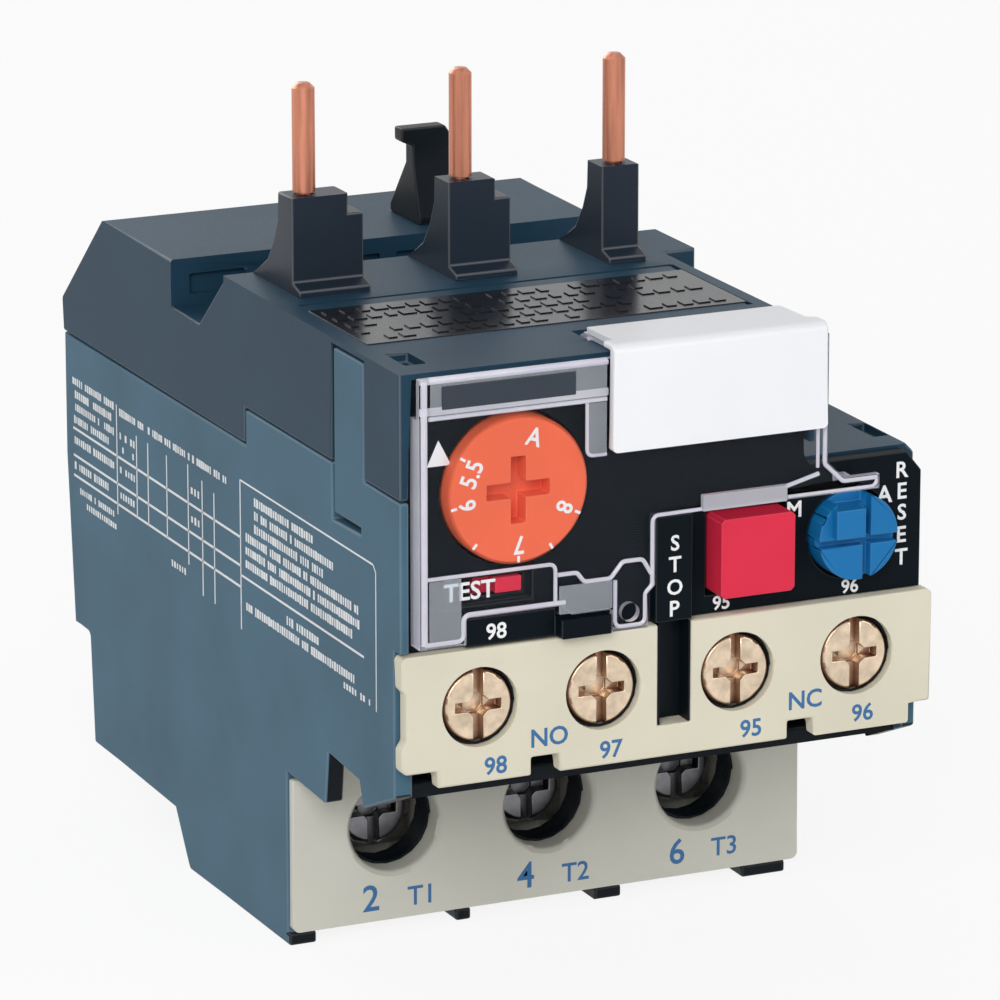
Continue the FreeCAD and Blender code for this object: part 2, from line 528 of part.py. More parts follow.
def make_reset():
    knob = new_piece("reset_knob")
    grow(knob, FRONT, [("reset_x", "reset_z", "reset_radius")], "reset_face + 0.5", "3.2")
    grow(knob, FRONT, [box("reset_x - 2.3", "reset_z + 0.2", "reset_x + 0.2", "reset_z + 2.5")],
         "reset_face - 0.3", "reset_face + 0.5")
    for slot in (box_at("reset_x + 0.7", "reset_z", "0.32", "reset_radius"),
                 box_at("reset_x", "reset_z - 0.3", "reset_radius", "0.3")):
        cut(knob, FRONT, [slot], "reset_face - 1", "reset_face + 1.3")
    cut(knob, FRONT, [box("reset_x - 1.9", "reset_z + 2.5", "reset_x + 0.9", "reset_z + 4")],
        "reset_face - 1", "panel_y")
    cut(knob, FRONT, [("reset_x", "reset_z", "stem + shank_fit")], "1.4", "4")
    plunger = new_piece("reset_plunger")
    grow(plunger, FRONT, [polygon("reset_x", "reset_z", "stem * 0.96")], "1.5", "11.2")
    grow(plunger, FRONT, [polygon("reset_x", "reset_z", "reset_radius - 0.4")], "3.3", "3.8")
    make_spring("reset_spring", "reset_x", "reset_z", "3.8")


def make_flag():
    body = new_piece("test_flag")
    grow(body, FRONT, [box_at("flag_x", "flag_z", "1.1", "0.6")], "panel_y + 0.2", "4.0")
    grow(body, FRONT, [box("flag_x - 2.4", "flag_z - 1.6", "flag_x + 2.6", "flag_z + 0.6")],
         "panel_rear + 0.1", "3.6")


def make_pins():
    for index, pin in enumerate(PINS, 1):
        body = new_piece(f"line_pin_{index}")
        grow(body, TOP, [polygon(pin, "pin_y", "pin_root * 0.95", 8)], "pin_foot_z", "pin_step_z")
        grow(body, TOP, [(pin, "pin_y", "pin_radius")], "pin_step_z", "pin_top")
        rim(body, [("z", "pin_top", "pin_radius")], "0.4")
        grow(body, SIDE, [[
            ("pin_y - 1.1", "pin_foot_z"), ("lead_drop_y", "pin_foot_z"),
            ("lead_drop_y", "strip_foot - 1.2"), ("strip_y + 2.2", "strip_foot - 1.2"),
            ("strip_y + 2.2", "strip_foot - 0.1"), ("lead_drop_y + lead_thick", "strip_foot - 0.1"),
            ("lead_drop_y + lead_thick", "pin_foot_z + lead_thick"),
            ("pin_y - 1.1", "pin_foot_z + lead_thick"),
        ]], f"{pin} - lead_half", f"{pin} + lead_half")
        pole = POLES[index - 1]
        # Foot across to the middle of the chamber, which carries the bimetal strip.
        grow(body, TOP, [box(pin, "strip_y - 2.4", f"{pole} + 1.4", "strip_y + 2.2")],
             "strip_foot - 1.2", "strip_foot - 0.1")


SHROUDS = [("-20.0", "-13.9"), ("-6.7", "-1.3"), ("6.6", "9.9")]


def make_shrouds():
    for index, (left, right) in enumerate(SHROUDS, 1):
        body = new_piece(f"pin_shroud_{index}")
        pin = PINS[index - 1]
        # Upright box with a concave rear gusset and a foot flange on the deck.
        grow(body, SIDE, [[
            ("shroud_front - 1.4", "deck_z"), ("34.4", "deck_z"), ("33.2", "deck_z + 0.6"),
            ("31.4", "deck_z + 1.8"), ("30.1", "deck_z + 3.6"), ("shroud_rear + 0.1", "deck_z + 5.4"),
            ("shroud_rear", "shroud_top"), ("shroud_front", "shroud_top"), ("shroud_front", "deck_z + 0.9"),
            ("shroud_front - 1.4", "deck_z + 0.5"),
        ]], left, right)
        cut(body, TOP, [polygon(pin, "pin_y", "pin_root + shank_fit", 8)], "deck_z - 1", "shroud_top + 1")
        if index < 3:
            cut(body, TOP, [box(f"{right} - 1.3", "shroud_front - 1", f"{right} + 1", "shroud_rear + 1")],
                "shroud_top - 1.6", "shroud_top + 1")
    hook = new_piece("contactor_hook")
    grow(hook, FRONT, [[
        ("0.4", "rear_deck_z"), ("3.9", "rear_deck_z"), ("3.9", "57.6"), ("3.3", "58.5"), ("-0.6", "58.5"),
        ("-0.6", "57.4"), ("0.4", "57.0"),
    ]], "49.2", "50.8")
    grow(hook, SIDE, [[("48.0", "rear_deck_z"), ("54.0", "rear_deck_z"), ("54.0", "rear_deck_z + 0.7"),
                       ("50.8", "55.4"), ("49.2", "55.4"), ("48.0", "rear_deck_z + 0.7")]], "0.4", "3.9")


def make_power_terminals():
    for index, pole in enumerate(POLES, 1):
        screw = new_piece(f"power_screw_{index}")
        grow(screw, FRONT, [(pole, "power_z", "power_head")], "power_head_y", "power_head_y + 2.2")
        rim(screw, [("y", "power_head_y", "power_head")], "0.5")
        grow(screw, FRONT, [polygon(pole, "power_z", "power_shank * 0.96")], "power_head_y + 2.2", "36.6")
        driver_slot(screw, pole, "power_z", "power_head", "0.45", "power_head_y")
        clamp = new_piece(f"power_clamp_{index}")
        hole = polygon(pole, "power_z", "power_shank + shank_fit")
        grow(clamp, FRONT, [box_at(pole, "power_z", "4.0", "3.8"), hole], "power_head_y + 2.25", "29.7")
        lead = new_piece(f"load_lead_{index}")
        grow(lead, FRONT, [box(f"{pole} - 4.2", "5.0", f"{pole} + 4.2", "lead_z + 0.5"), hole],
             "33.4", "34.6")
        grow(lead, TOP, [box(f"{pole} - 2.5", "34.6", f"{pole} + 2.5", "51.6")], "lead_z - 0.5",
             "lead_z + 0.5")


def make_control_terminals():
    for index, spot in enumerate(CONTROLS, 1):
        screw = new_piece(f"control_screw_{index}")
        grow(screw, FRONT, [(spot, "control_z", "control_head")], "0.3", "2.5")
        rim(screw, [("y", "0.3", "control_head")], "0.35")
        grow(screw, FRONT, [polygon(spot, "control_z", "control_shank * 0.96")], "2.5", "10.5")
        driver_slot(screw, spot, "control_z", "control_head", "0.4", "0.3")
        clamp = new_piece(f"control_clamp_{index}")
        hole = polygon(spot, "control_z", "control_shank + shank_fit")
        grow(clamp, FRONT, [box_at(spot, "control_z", "3.1", "2.8"), hole], "2.75", "3.6")
        blade = new_piece(f"contact_blade_{index}")
        grow(blade, FRONT, [box_at(spot, "control_z", "3.2", "2.9"), hole], "6.2", "7.2")
        grow(blade, TOP, [box(f"{spot} - 3.2", "7.2", f"{spot} - 2.2", "12.7")],
             "control_z - 0.7", "control_z + 0.7")
        grow(blade, TOP, [box(f"{spot} - 3.2", "11.7", f"{spot} + 1.2", "12.7")],
             "control_z - 0.7", "control_z + 0.7")
        grow(blade, SIDE, [[
            ("11.7", "control_z - 0.7"), ("blade_y + 0.6", "control_z - 0.7"),
            ("blade_y + 0.6", "blade_top"), ("blade_y", "blade_top"),
            ("blade_y", "control_z + 0.1"), ("11.7", "control_z + 0.1"),
        ]], f"{spot} - 1.2", f"{spot} + 1.2")
        button = ("blade_y + 0.6", "blade_y + 1.0") if index > 2 else ("blade_y - 0.4", "blade_y")
        grow(blade, FRONT, [box_at(spot, "35.4", "0.8", "0.8")], *button)


def make_bimetals():
    for index, pole in enumerate(POLES, 1):
        strip = new_piece(f"bimetal_{index}")
        grow(strip, TOP, [box_at(pole, "strip_y", "strip_thick", "strip_half")], "strip_foot", "strip_top")
        winding = new_piece(f"heater_{index}")
        sleeve = [box_at(pole, "strip_y", "1.0", "strip_half + 0.6"),
                  box_at(pole, "strip_y", "strip_thick", "strip_half")]
        band = [box_at(pole, "strip_y", "1.7", "strip_half + 1.3"), sleeve[1]]
        grow(winding, TOP, sleeve, "winding_low", "winding_high")
        for turn in range(6):
            begin = f"winding_low + 1.0 + {turn} * 3.0"
            grow(winding, TOP, band, begin, f"{begin} + 1.8")


def make_trip_train():
    slide = new_piece("trip_slide")
    grow(slide, TOP, [box("-17.6", "58.8", "17.8", "60.4")], "slide_z", "slide_high")
    grow(slide, TOP, [box("16.8", "30.9", "17.8", "58.8")], "slide_z", "slide_high")
    grow(slide, TOP, [box(f"{pole} + strip_thick + 0.1", "54.0", f"{pole} + strip_thick + 1.1", "58.8")
                      for pole in POLES], "slide_z", "slide_high")
    lever = new_piece("trip_lever")
    grow(lever, TOP, [polygon("lever_x", "lever_y", "2.1"), ("lever_x", "lever_y", "0.75 + shank_fit")],
         "34.0", "38.4")
    grow(lever, TOP, [[("lever_x + 1.0", "lever_y + 1.6"), ("lever_x + 1.9", "lever_y + 0.6"),
                       ("18.8", "30.0"), ("18.8", "33.0"), ("18.0", "33.0"), ("18.0", "30.6")]],
         "35.4", "37.6")
    grow(lever, TOP, [[("lever_x - 1.9", "lever_y - 0.6"), ("lever_x - 0.9", "lever_y - 1.8"),
                       ("12.6", "22.2"), ("11.4", "22.2")]], "35.4", "37.6")
    pin = new_piece("trip_lever_pin")
    grow(pin, TOP, [("lever_x", "lever_y", "0.75")], "bay_top + 1.3", "seam_z + 0.1")
    carrier = new_piece("contact_carrier")
    grow(carrier, TOP, [box("-20.5", "carrier_y", "20.4", "carrier_y + 1.6")], "carrier_z", "36.2")
    grow(carrier, TOP, [box("9.2", "blade_y + 1.7", "12.6", "carrier_y")], "34.0", "36.8")
    grow(carrier, TOP, [box("-12.4", "12.9", "-9.2", "carrier_y")], "38.0", "39.6")
    grow(carrier, TOP, [box("-12.4", "carrier_y", "-9.2", "carrier_y + 1.6")], "36.2", "39.6")
    grow(carrier, TOP, [box("-12.4", "12.9", "-9.2", "13.9")], "34.0", "38.0")
    nc_bridge = new_piece("nc_bridge")
    grow(nc_bridge, TOP, [box("4.4", "blade_y + 1.1", "17.3", "blade_y + 1.7")], "34.4", "36.4")
    no_bridge = new_piece("no_bridge")
    grow(no_bridge, TOP, [box("-17.3", "13.9", "-4.4", "14.5")], "34.4", "36.4")


def main():
    fill_sheet()
    make_lower_case()
    make_upper_case()
    make_panel()
    make_control_block()
    make_power_block()
    make_cover()
    make_marker()
    make_hinge_pin()
    make_dial()
    make_stop_button()
    make_reset()
    make_flag()
    make_pins()
    make_shrouds()
    make_power_terminals()
    make_control_terminals()
    make_bimetals()
    make_trip_train()
    doc.recompute()
    for item in doc.Objects:
        if "Invalid" in item.State or "Error" in item.State:
            raise RuntimeError(f"{item.Name} failed: {item.State}")
    for body in pieces:
        if body.Shape.isNull() or not body.Shape.isValid():
            raise RuntimeError(f"{body.Label} has no valid shape")
        if len(body.Shape.Solids) != 1:
            print(f"{body.Label} has {len(body.Shape.Solids)} solids")
    os.makedirs("parts", exist_ok=True)
    for body in pieces:
        body.Shape.exportStep(f"parts/{body.Label}.step")
    print(len(pieces), "pieces")


main()
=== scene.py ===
# Thermal overload relay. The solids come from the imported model, in metres: X to the right, Z up,
# and the front face of the control block at Y = -0.0341. This file gives each piece its edges,
# its finish and its printing, in the order in which the relay is put together.
import json
import math

import bmesh
import bpy
import numpy as np
from mathutils import Matrix, Vector

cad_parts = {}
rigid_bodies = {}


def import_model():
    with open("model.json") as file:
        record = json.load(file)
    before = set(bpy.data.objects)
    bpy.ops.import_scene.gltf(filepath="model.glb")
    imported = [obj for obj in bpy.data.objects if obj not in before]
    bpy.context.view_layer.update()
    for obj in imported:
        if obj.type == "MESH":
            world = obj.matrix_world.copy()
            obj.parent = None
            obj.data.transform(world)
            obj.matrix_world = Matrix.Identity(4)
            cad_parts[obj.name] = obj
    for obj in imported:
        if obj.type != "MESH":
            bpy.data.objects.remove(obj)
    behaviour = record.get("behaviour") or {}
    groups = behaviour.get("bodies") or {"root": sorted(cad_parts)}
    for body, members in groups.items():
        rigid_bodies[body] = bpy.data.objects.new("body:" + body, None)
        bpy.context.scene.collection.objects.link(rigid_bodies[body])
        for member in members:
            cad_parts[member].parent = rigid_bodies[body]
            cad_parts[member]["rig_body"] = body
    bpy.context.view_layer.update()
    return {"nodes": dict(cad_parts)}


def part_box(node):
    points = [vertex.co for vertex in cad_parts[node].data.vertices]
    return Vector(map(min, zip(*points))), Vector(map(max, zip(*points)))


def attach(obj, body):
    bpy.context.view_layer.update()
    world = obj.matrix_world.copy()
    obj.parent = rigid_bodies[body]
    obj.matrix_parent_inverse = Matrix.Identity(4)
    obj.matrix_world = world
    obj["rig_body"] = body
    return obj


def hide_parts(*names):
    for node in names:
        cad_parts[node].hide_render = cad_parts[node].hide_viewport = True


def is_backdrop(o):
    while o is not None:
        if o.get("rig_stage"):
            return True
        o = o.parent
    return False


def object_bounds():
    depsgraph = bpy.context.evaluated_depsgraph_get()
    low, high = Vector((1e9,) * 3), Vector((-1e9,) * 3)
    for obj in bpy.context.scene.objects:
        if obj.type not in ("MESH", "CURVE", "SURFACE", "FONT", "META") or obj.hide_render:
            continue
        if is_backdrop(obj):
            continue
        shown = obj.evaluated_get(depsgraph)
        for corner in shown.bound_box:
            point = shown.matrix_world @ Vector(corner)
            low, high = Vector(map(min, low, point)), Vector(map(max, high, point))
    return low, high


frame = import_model()


# ---- Lower case -----------------------------------------------------------------------------
# Slate-blue thermoplastic tub that holds the bimetals and both terminal blocks. Its faces keep
# the fine spark-eroded grain of the mould, and its edges are broken and carry a painted highlight.
# The lip under the front block is painted black as shade under the block's overhang, and its
# faces within about 1 mm of the bottom are black too.
MM = 0.001


def link(tree, start, output, end, entry):
    tree.links.new(start.outputs[output], end.inputs[entry])


def new_finish(name):
    """A material with its nodes and its main shader."""
    material = bpy.data.materials.new(name)
    material.use_nodes = True
    return material, material.node_tree, material.node_tree.nodes["Principled BSDF"]


def noise(tree, source, output, scale, detail=2):
    """Noise over the piece: clouds at a low scale, specks at a high one."""
    made = tree.nodes.new("ShaderNodeTexNoise")
    made.inputs["Scale"].default_value = scale
    made.inputs["Detail"].default_value = detail
    link(tree, source, output, made, "Vector")
    return made


def toned(tree, wave, low, high, ends=(0.3, 0.7)):
    """A colour that runs between two tones with the noise."""
    tone = tree.nodes.new("ShaderNodeValToRGB")
    for element, position, colour in zip(tone.color_ramp.elements, ends, (low, high)):
        element.position = position
        element.color = (*colour, 1)
    link(tree, wave, "Fac", tone, "Fac")
    return tone


def drifting(tree, wave, colour, drift):
    """A tone that drifts a little darker and a little paler than a colour."""
    darker = [part * (1 - drift) for part in colour]
    paler = [min(1, part * (1 + drift)) for part in colour]
    return toned(tree, wave, darker, paler)


def reckoned(tree, operation, *values):
    """The result of a maths node over sockets and plain numbers."""
    made = tree.nodes.new("ShaderNodeMath")
    made.operation = operation
    for entry, value in zip(made.inputs, values):
        if isinstance(value, bpy.types.NodeSocket):
            tree.links.new(value, entry)
        else:
            entry.default_value = value
    return made.outputs[0]


def overlaid(tree, share, tone, colour, shader):
    """The shader's colour: a tone with another colour laid over it by a share."""
    # A mix node keeps its two colours in places 6 and 7 and its mixed colour in place 2.
    blend = tree.nodes.new("ShaderNodeMix")
    blend.data_type = "RGBA"
    blend.inputs[7].default_value = (*colour, 1)
    tree.links.new(share, blend.inputs["Factor"])
    link(tree, tone, "Color", blend, 6)
    link(tree, blend, 2, shader, "Base Color")


def gloss_between(tree, wave, low, high, shader):
    """Roughness that wanders between two values with the noise."""
    gloss = tree.nodes.new("ShaderNodeMapRange")
    gloss.inputs["To Min"].default_value = low
    gloss.inputs["To Max"].default_value = high
    link(tree, wave, "Fac", gloss, "Value")
    link(tree, gloss, "Result", shader, "Roughness")


GRAIN_DEPTH = 0.02 * MM
GLOSS_DRIFT = 0.07


def moulded(name, colour, roughness, grain=0.35, drift=0.12, shine=0.25, highlight_share=0.35):
    """Matt thermoplastic: a slow drift of tone, a fine grain, and broken edges painted a little
    paler as a highlight.
    """
    material, tree, shader = new_finish(name)
    shader.inputs["Specular IOR Level"].default_value = shine
    place = tree.nodes.new("ShaderNodeTexCoord")
    cloud = noise(tree, place, "Object", scale=90, detail=3)
    tone = drifting(tree, cloud, colour, drift)
    # Painted highlight: the middles of broken edges, marked when a solid is eased, are painted
    # paler.
    edge = tree.nodes.new("ShaderNodeAttribute")
    edge.attribute_name = "painted_edge_highlight"
    share = reckoned(tree, "MULTIPLY", edge.outputs["Fac"], highlight_share)
    highlight_tone = [part * 0.7 + 0.16 for part in colour]
    overlaid(tree, share, tone, highlight_tone, shader)
    speck = noise(tree, place, "Object", scale=6000)
    gloss_between(tree, speck, roughness - GLOSS_DRIFT, roughness + GLOSS_DRIFT, shader)
    relief = tree.nodes.new("ShaderNodeBump")
    relief.inputs["Strength"].default_value = grain
    relief.inputs["Distance"].default_value = GRAIN_DEPTH
    link(tree, speck, "Fac", relief, "Height")
    link(tree, relief, "Normal", shader, "Normal")
    return material


def free_width(edge, face):
    """How far a face reaches inward from one of its edges before it meets another edge."""
    loop = next(loop for loop in edge.link_loops if loop.face is face)
    first, last = loop.vert.co, loop.link_loop_next.vert.co
    inward = face.normal.cross(last - first).normalized()
    least = 1.0
    for other in face.edges:
        start, span = other.verts[0].co, other.verts[1].co - other.verts[0].co
        across = face.normal.cross(inward)
        slope = span.dot(across)
        if other is edge or abs(slope) < 1e-9:
            continue
        for share in (0.06, 0.3, 0.5, 0.7, 0.94):
            spot = first.lerp(last, share)
            step = (spot - start).dot(across) / slope
            reach = (start + span * step - spot).dot(inward)
            if -0.001 <= step <= 1.001 and reach > 1e-7:
                least = min(least, reach)
    return least


ALONGSIDE = 0.85


def in_the_way(edge, room):
    """Whether an edge that leaves either end sideways is too short for a broken edge."""
    along = (edge.verts[1].co - edge.verts[0].co).normalized()
    for corner in edge.verts:
        for other in corner.link_edges:
            side = (other.verts[1].co - other.verts[0].co).normalized()
            beside = abs(side.dot(along)) >= ALONGSIDE
            if other is not edge and other.calc_length() < room and not beside:
                return True
    return False


def placed(name, data):
    """A new object in the scene."""
    thing = bpy.data.objects.new(name, data)
    bpy.context.scene.collection.objects.link(thing)
    return thing


def worked(holder):
    """The mesh that a helper object ends up with; the helper is then removed."""
    bpy.context.view_layer.update()
    result = holder.evaluated_get(bpy.context.evaluated_depsgraph_get())
    mesh = bpy.data.meshes.new_from_object(result)
    bpy.data.objects.remove(holder)
    return mesh


def poured(shape, name, material):
    """A mesh in one material, out of a worked shape."""
    mesh = bpy.data.meshes.new(name)
    shape.to_mesh(mesh)
    shape.free()
    mesh.materials.append(material)
    return mesh


SHORTEST, NARROWEST = 1.4, 2.3
FLAT_TURN, SHARP_TURN, SMOOTH_TURN = math.radians(0.6), math.radians(30), math.radians(32)


def eased(node, material, width):
    """A copy of a solid with its flat faces joined, its edges broken and its shading evened.

    Outer edges lose material and inner corners gain a small fillet. An edge stays sharp if it is
    too short for the width or if a face beside it is too narrow.
    """
    source = frame["nodes"][node]
    shape = bmesh.new()
    shape.from_mesh(source.data)
    bmesh.ops.remove_doubles(shape, verts=shape.verts, dist=1e-6)
    bmesh.ops.dissolve_limit(shape, angle_limit=FLAT_TURN, verts=shape.verts, edges=shape.edges)
    room = SHORTEST * width * MM
    sharp = []
    for edge in shape.edges:
        if len(edge.link_faces) != 2 or edge.calc_face_angle(0) < SHARP_TURN:
            continue
        beside = min(free_width(edge, face) for face in edge.link_faces)
        wide = beside > NARROWEST * width * MM
        if edge.calc_length() > room and wide and not in_the_way(edge, room):
            sharp.append(edge)
    # The middles of the broken edges are marked here for a painted highlight in the moulded
    # materials.
    painted_edge_highlight = shape.verts.layers.float.new("painted_edge_highlight")
    if sharp:
        made = bmesh.ops.bevel(shape, geom=sharp, offset=width * MM, offset_type="OFFSET",
                               segments=2, profile=0.5, affect="EDGES", clamp_overlap=False)
        fresh = set(made["faces"])
        for corner in made["verts"]:
            if all(face in fresh for face in corner.link_faces):
                corner[painted_edge_highlight] = 1
    mesh = poured(shape, node + "_eased", material)
    mesh.shade_smooth()
    mesh.set_sharp_from_angle(angle=SMOOTH_TURN)
    holder = placed("holder", mesh)
    even = holder.modifiers.new("even", "WEIGHTED_NORMAL")
    even.keep_sharp = True
    even.weight = 90
    piece = placed(node + "_finished", worked(holder))
    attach(piece, source["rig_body"])
    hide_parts(node)
    return piece


FOOT_TOP = 1.02
NOSE_LOW, NOSE_HIGH, NOSE_BACK, NOSE_SIDE = 13.0, 19.3, -8, 22.3
slate = moulded("slate_moulding", (0.058, 0.132, 0.192), 0.5, shine=0.15, highlight_share=0.5)
# This black is the hook's own colour and also stands in for shade: the lip under the front block,
# the sheet in the middle slot and the rings in the screw wells.
black_and_shade = moulded("black_moulding_and_shade", (0.004, 0.007, 0.010), 0.38, shine=0.12, highlight_share=0.2)
lower = eased("lower_case", slate, 0.22)
lower.data.materials.append(black_and_shade)
# Painted shade: the lip under the front block is coloured black as shade under the block's
# overhang; faces within about 1 mm of the bottom are black as well.
for face in lower.data.polygons:
    spot = face.center / MM
    foot = spot.z < FOOT_TOP
    nose = NOSE_LOW < spot.z < NOSE_HIGH and spot.y < NOSE_BACK and abs(spot.x) < NOSE_SIDE
    if foot or nose:
        face.material_index = 1


# ---- Upper case, pin shrouds and contactor hook ---------------------------------------------
# The darker lid of the housing, in the same plastic, with three shrouds that guide the plug-in
# pins and the nearly black hook that catches the contactor.
def set_of(name, count):
    """The names of a set of like pieces, numbered from one."""
    return [f"{name}_{index}" for index in range(1, count + 1)]


dark = moulded("dark_moulding", (0.013, 0.043, 0.074), 0.45, shine=0.14, highlight_share=0.6)
eased("upper_case", dark, 0.22)
shroud = moulded("shroud_moulding", (0.013, 0.021, 0.034), 0.36, shine=0.18, highlight_share=0.6)
for node in set_of("pin_shroud", 3):
    eased(node, shroud, 0.18)
eased("contactor_hook", black_and_shade, 0.18)


# ---- Deck label -----------------------------------------------------------------------------
# A thin glossy black plate let into the deck, with raised rows that stand for its small print.
# The rows are plain bars, so they say nothing: one small block repeated with gaps.
def new_tree(name, entries):
    """An empty geometry tree with its named inputs, its first and its last node."""
    tree = bpy.data.node_groups.new(name, "GeometryNodeTree")
    for entry, kind in entries:
        tree.interface.new_socket(entry, in_out="INPUT", socket_type="NodeSocket" + kind)
    tree.interface.new_socket("Geometry", in_out="OUTPUT", socket_type="NodeSocketGeometry")
    return tree, tree.nodes.new("NodeGroupInput"), tree.nodes.new("NodeGroupOutput")


def closed(tree, source, socket, start, end):
    """Ends a tree: instances made real, the material set, and the result handed on."""
    real = tree.nodes.new("GeometryNodeRealizeInstances")
    paint = tree.nodes.new("GeometryNodeSetMaterial")
    link(tree, source, socket, real, "Geometry")
    link(tree, real, "Geometry", paint, "Geometry")
    link(tree, start, "Material", paint, "Material")
    link(tree, paint, "Geometry", end, "Geometry")


def grown(tree, values, guide=None):
    """The mesh that a geometry tree makes from these values, and from a guide if it has one."""
    holder = placed("holder", guide or bpy.data.meshes.new("guide"))
    step = holder.modifiers.new("grow", "NODES")
    step.node_group = tree
    for item in tree.interface.items_tree:
        if item.in_out == "INPUT" and item.name in values:
            step[item.identifier] = values[item.name]
    return worked(holder)


def soft_box(name, centre, size, soft, material):
    """A box with softened edges; its centre, size and softening are in millimetres."""
    box = bmesh.new()
    stretch = Matrix.Diagonal((*(side * MM for side in size), 1))
    bmesh.ops.create_cube(box, size=1, matrix=Matrix.Translation(Vector(centre) * MM) @ stretch)
    bmesh.ops.bevel(box, geom=box.edges[:], offset=soft * MM, segments=2, profile=0.5,
                    affect="EDGES")
    return poured(box, name, material)


def settle(name, meshes, body):
    """One piece made of several finished meshes, riding on a body of the relay."""
    shape = bmesh.new()
    for mesh in meshes:
        shape.from_mesh(mesh)
    whole = bpy.data.meshes.new(name)
    shape.to_mesh(whole)
    shape.free()
    for material in meshes[0].materials:
        whole.materials.append(material)
    piece = placed(name, whole)
    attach(piece, body)
    return piece


rows_tree, start, end = new_tree("small_print", [
    ("Width", "Float"), ("Across", "Int"), ("Bar", "Vector"), ("Kept", "Float"), ("Seed", "Int"),
    ("Material", "Material")])
grid = rows_tree.nodes.new("GeometryNodeMeshGrid")
grid.inputs["Size Y"].default_value = 0
grid.inputs["Vertices Y"].default_value = 1
link(rows_tree, start, "Width", grid, "Size X")
link(rows_tree, start, "Across", grid, "Vertices X")
# A random value node gives its vector in place 0 and its yes or no in place 3.
chosen = rows_tree.nodes.new("FunctionNodeRandomValue")
chosen.data_type = "BOOLEAN"
link(rows_tree, start, "Kept", chosen, "Probability")
link(rows_tree, start, "Seed", chosen, "Seed")
wide = rows_tree.nodes.new("FunctionNodeRandomValue")
wide.data_type = "FLOAT_VECTOR"
wide.inputs["Min"].default_value = (0.55, 0.8, 1)
wide.inputs["Max"].default_value = (1, 1, 1)
link(rows_tree, start, "Seed", wide, "Seed")
block = rows_tree.nodes.new("GeometryNodeMeshCube")
link(rows_tree, start, "Bar", block, "Size")
spread = rows_tree.nodes.new("GeometryNodeInstanceOnPoints")
link(rows_tree, grid, "Mesh", spread, "Points")
link(rows_tree, chosen, 3, spread, "Selection")
link(rows_tree, block, "Mesh", spread, "Instance")
link(rows_tree, wide, 0, spread, "Scale")
closed(rows_tree, spread, "Instances", start, end)


def small_print(width, across, bar, kept, seed, ink):
    """One row of bars; its width and the bar's three sides are in millimetres."""
    return grown(rows_tree, {"Width": width * MM, "Across": across, "Kept": kept, "Seed": seed,
                             "Bar": tuple(side * MM for side in bar), "Material": ink})


FRONT_PLANE = -34.1
DECK = 51.8
ROWS_LEFT, ROWS_FRONT, ROWS_APART = -19.8, 11.0, 2.1
DECK_ROWS = ((29, 22, 3), (22, 17, 5), (29, 22, 8), (25, 19, 13), (29, 22, 21))
gloss_black = moulded("label_gloss", (0.006, 0.008, 0.012), 0.22, grain=0.1, shine=0.35)
label = [soft_box("deck_plate", (-5.0, FRONT_PLANE + 15.2, DECK + 0.02), (32, 11.4, 0.12), 0.05,
                  gloss_black)]
for row, (width, across, seed) in enumerate(DECK_ROWS):
    words = small_print(width, across, (1.15, 1.25, 0.14), 0.84, seed, gloss_black)
    spot = (ROWS_LEFT + width / 2, FRONT_PLANE + ROWS_FRONT + ROWS_APART * row, DECK + 0.1)
    words.transform(Matrix.Translation(Vector(spot) * MM))
    label.append(words)
settle("deck_label", label, "case")


# ---- Terminal blocks ------------------------------------------------------------------------
# Cream control block in front and the slightly greyer power block below it. Both are glass-
# filled mouldings with crisp edges. A thin black sheet of painted shade lines the middle slot of
# the front one.
cream = moulded("cream_moulding", (0.68, 0.645, 0.515), 0.5, drift=0.04, highlight_share=0.2)
eased("control_terminal_block", cream, 0.2)
grey = moulded("grey_moulding", (0.60, 0.595, 0.525), 0.5, drift=0.04, highlight_share=0.2)
eased("power_terminal_block", grey, 0.2)
# Painted shade: a thin black U-shaped sheet on the walls of the middle slot, darkening it.
SHADE_SHEET_LEFT, SHADE_SHEET_RIGHT, SHADE_SHEET_FRONT, SHADE_SHEET_BACK = -1.02, 1.69, 0.1, 1.86
SHADE_SHEET_WALL, SHADE_SHEET_FOOT, SHADE_SHEET_TALL = 0.14, 21.84, 8.02
inner_left, inner_right = SHADE_SHEET_LEFT + SHADE_SHEET_WALL, SHADE_SHEET_RIGHT - SHADE_SHEET_WALL
inner_back = SHADE_SHEET_BACK - SHADE_SHEET_WALL
profile = [(SHADE_SHEET_LEFT, SHADE_SHEET_FRONT), (SHADE_SHEET_LEFT, SHADE_SHEET_BACK), (SHADE_SHEET_RIGHT, SHADE_SHEET_BACK),
           (SHADE_SHEET_RIGHT, SHADE_SHEET_FRONT), (inner_right, SHADE_SHEET_FRONT), (inner_right, inner_back),
           (inner_left, inner_back), (inner_left, SHADE_SHEET_FRONT)]
count = len(profile)
foot_ring = [Vector((x, FRONT_PLANE + y, SHADE_SHEET_FOOT)) * MM for x, y in profile]
top_ring = [corner + Vector((0, 0, SHADE_SHEET_TALL * MM)) for corner in foot_ring]
ends = [tuple(range(count)), tuple(reversed(range(count, 2 * count)))]
sides = [((step + 1) % count, step, step + count, (step + 1) % count + count)
         for step in range(count)]
slot_shade_sheet = bpy.data.meshes.new("column_slot_shade")
slot_shade_sheet.from_pydata(foot_ring + top_ring, [], ends + sides)
slot_shade_sheet.materials.append(black_and_shade)
settle("column_slot_shade", [slot_shade_sheet], "case")


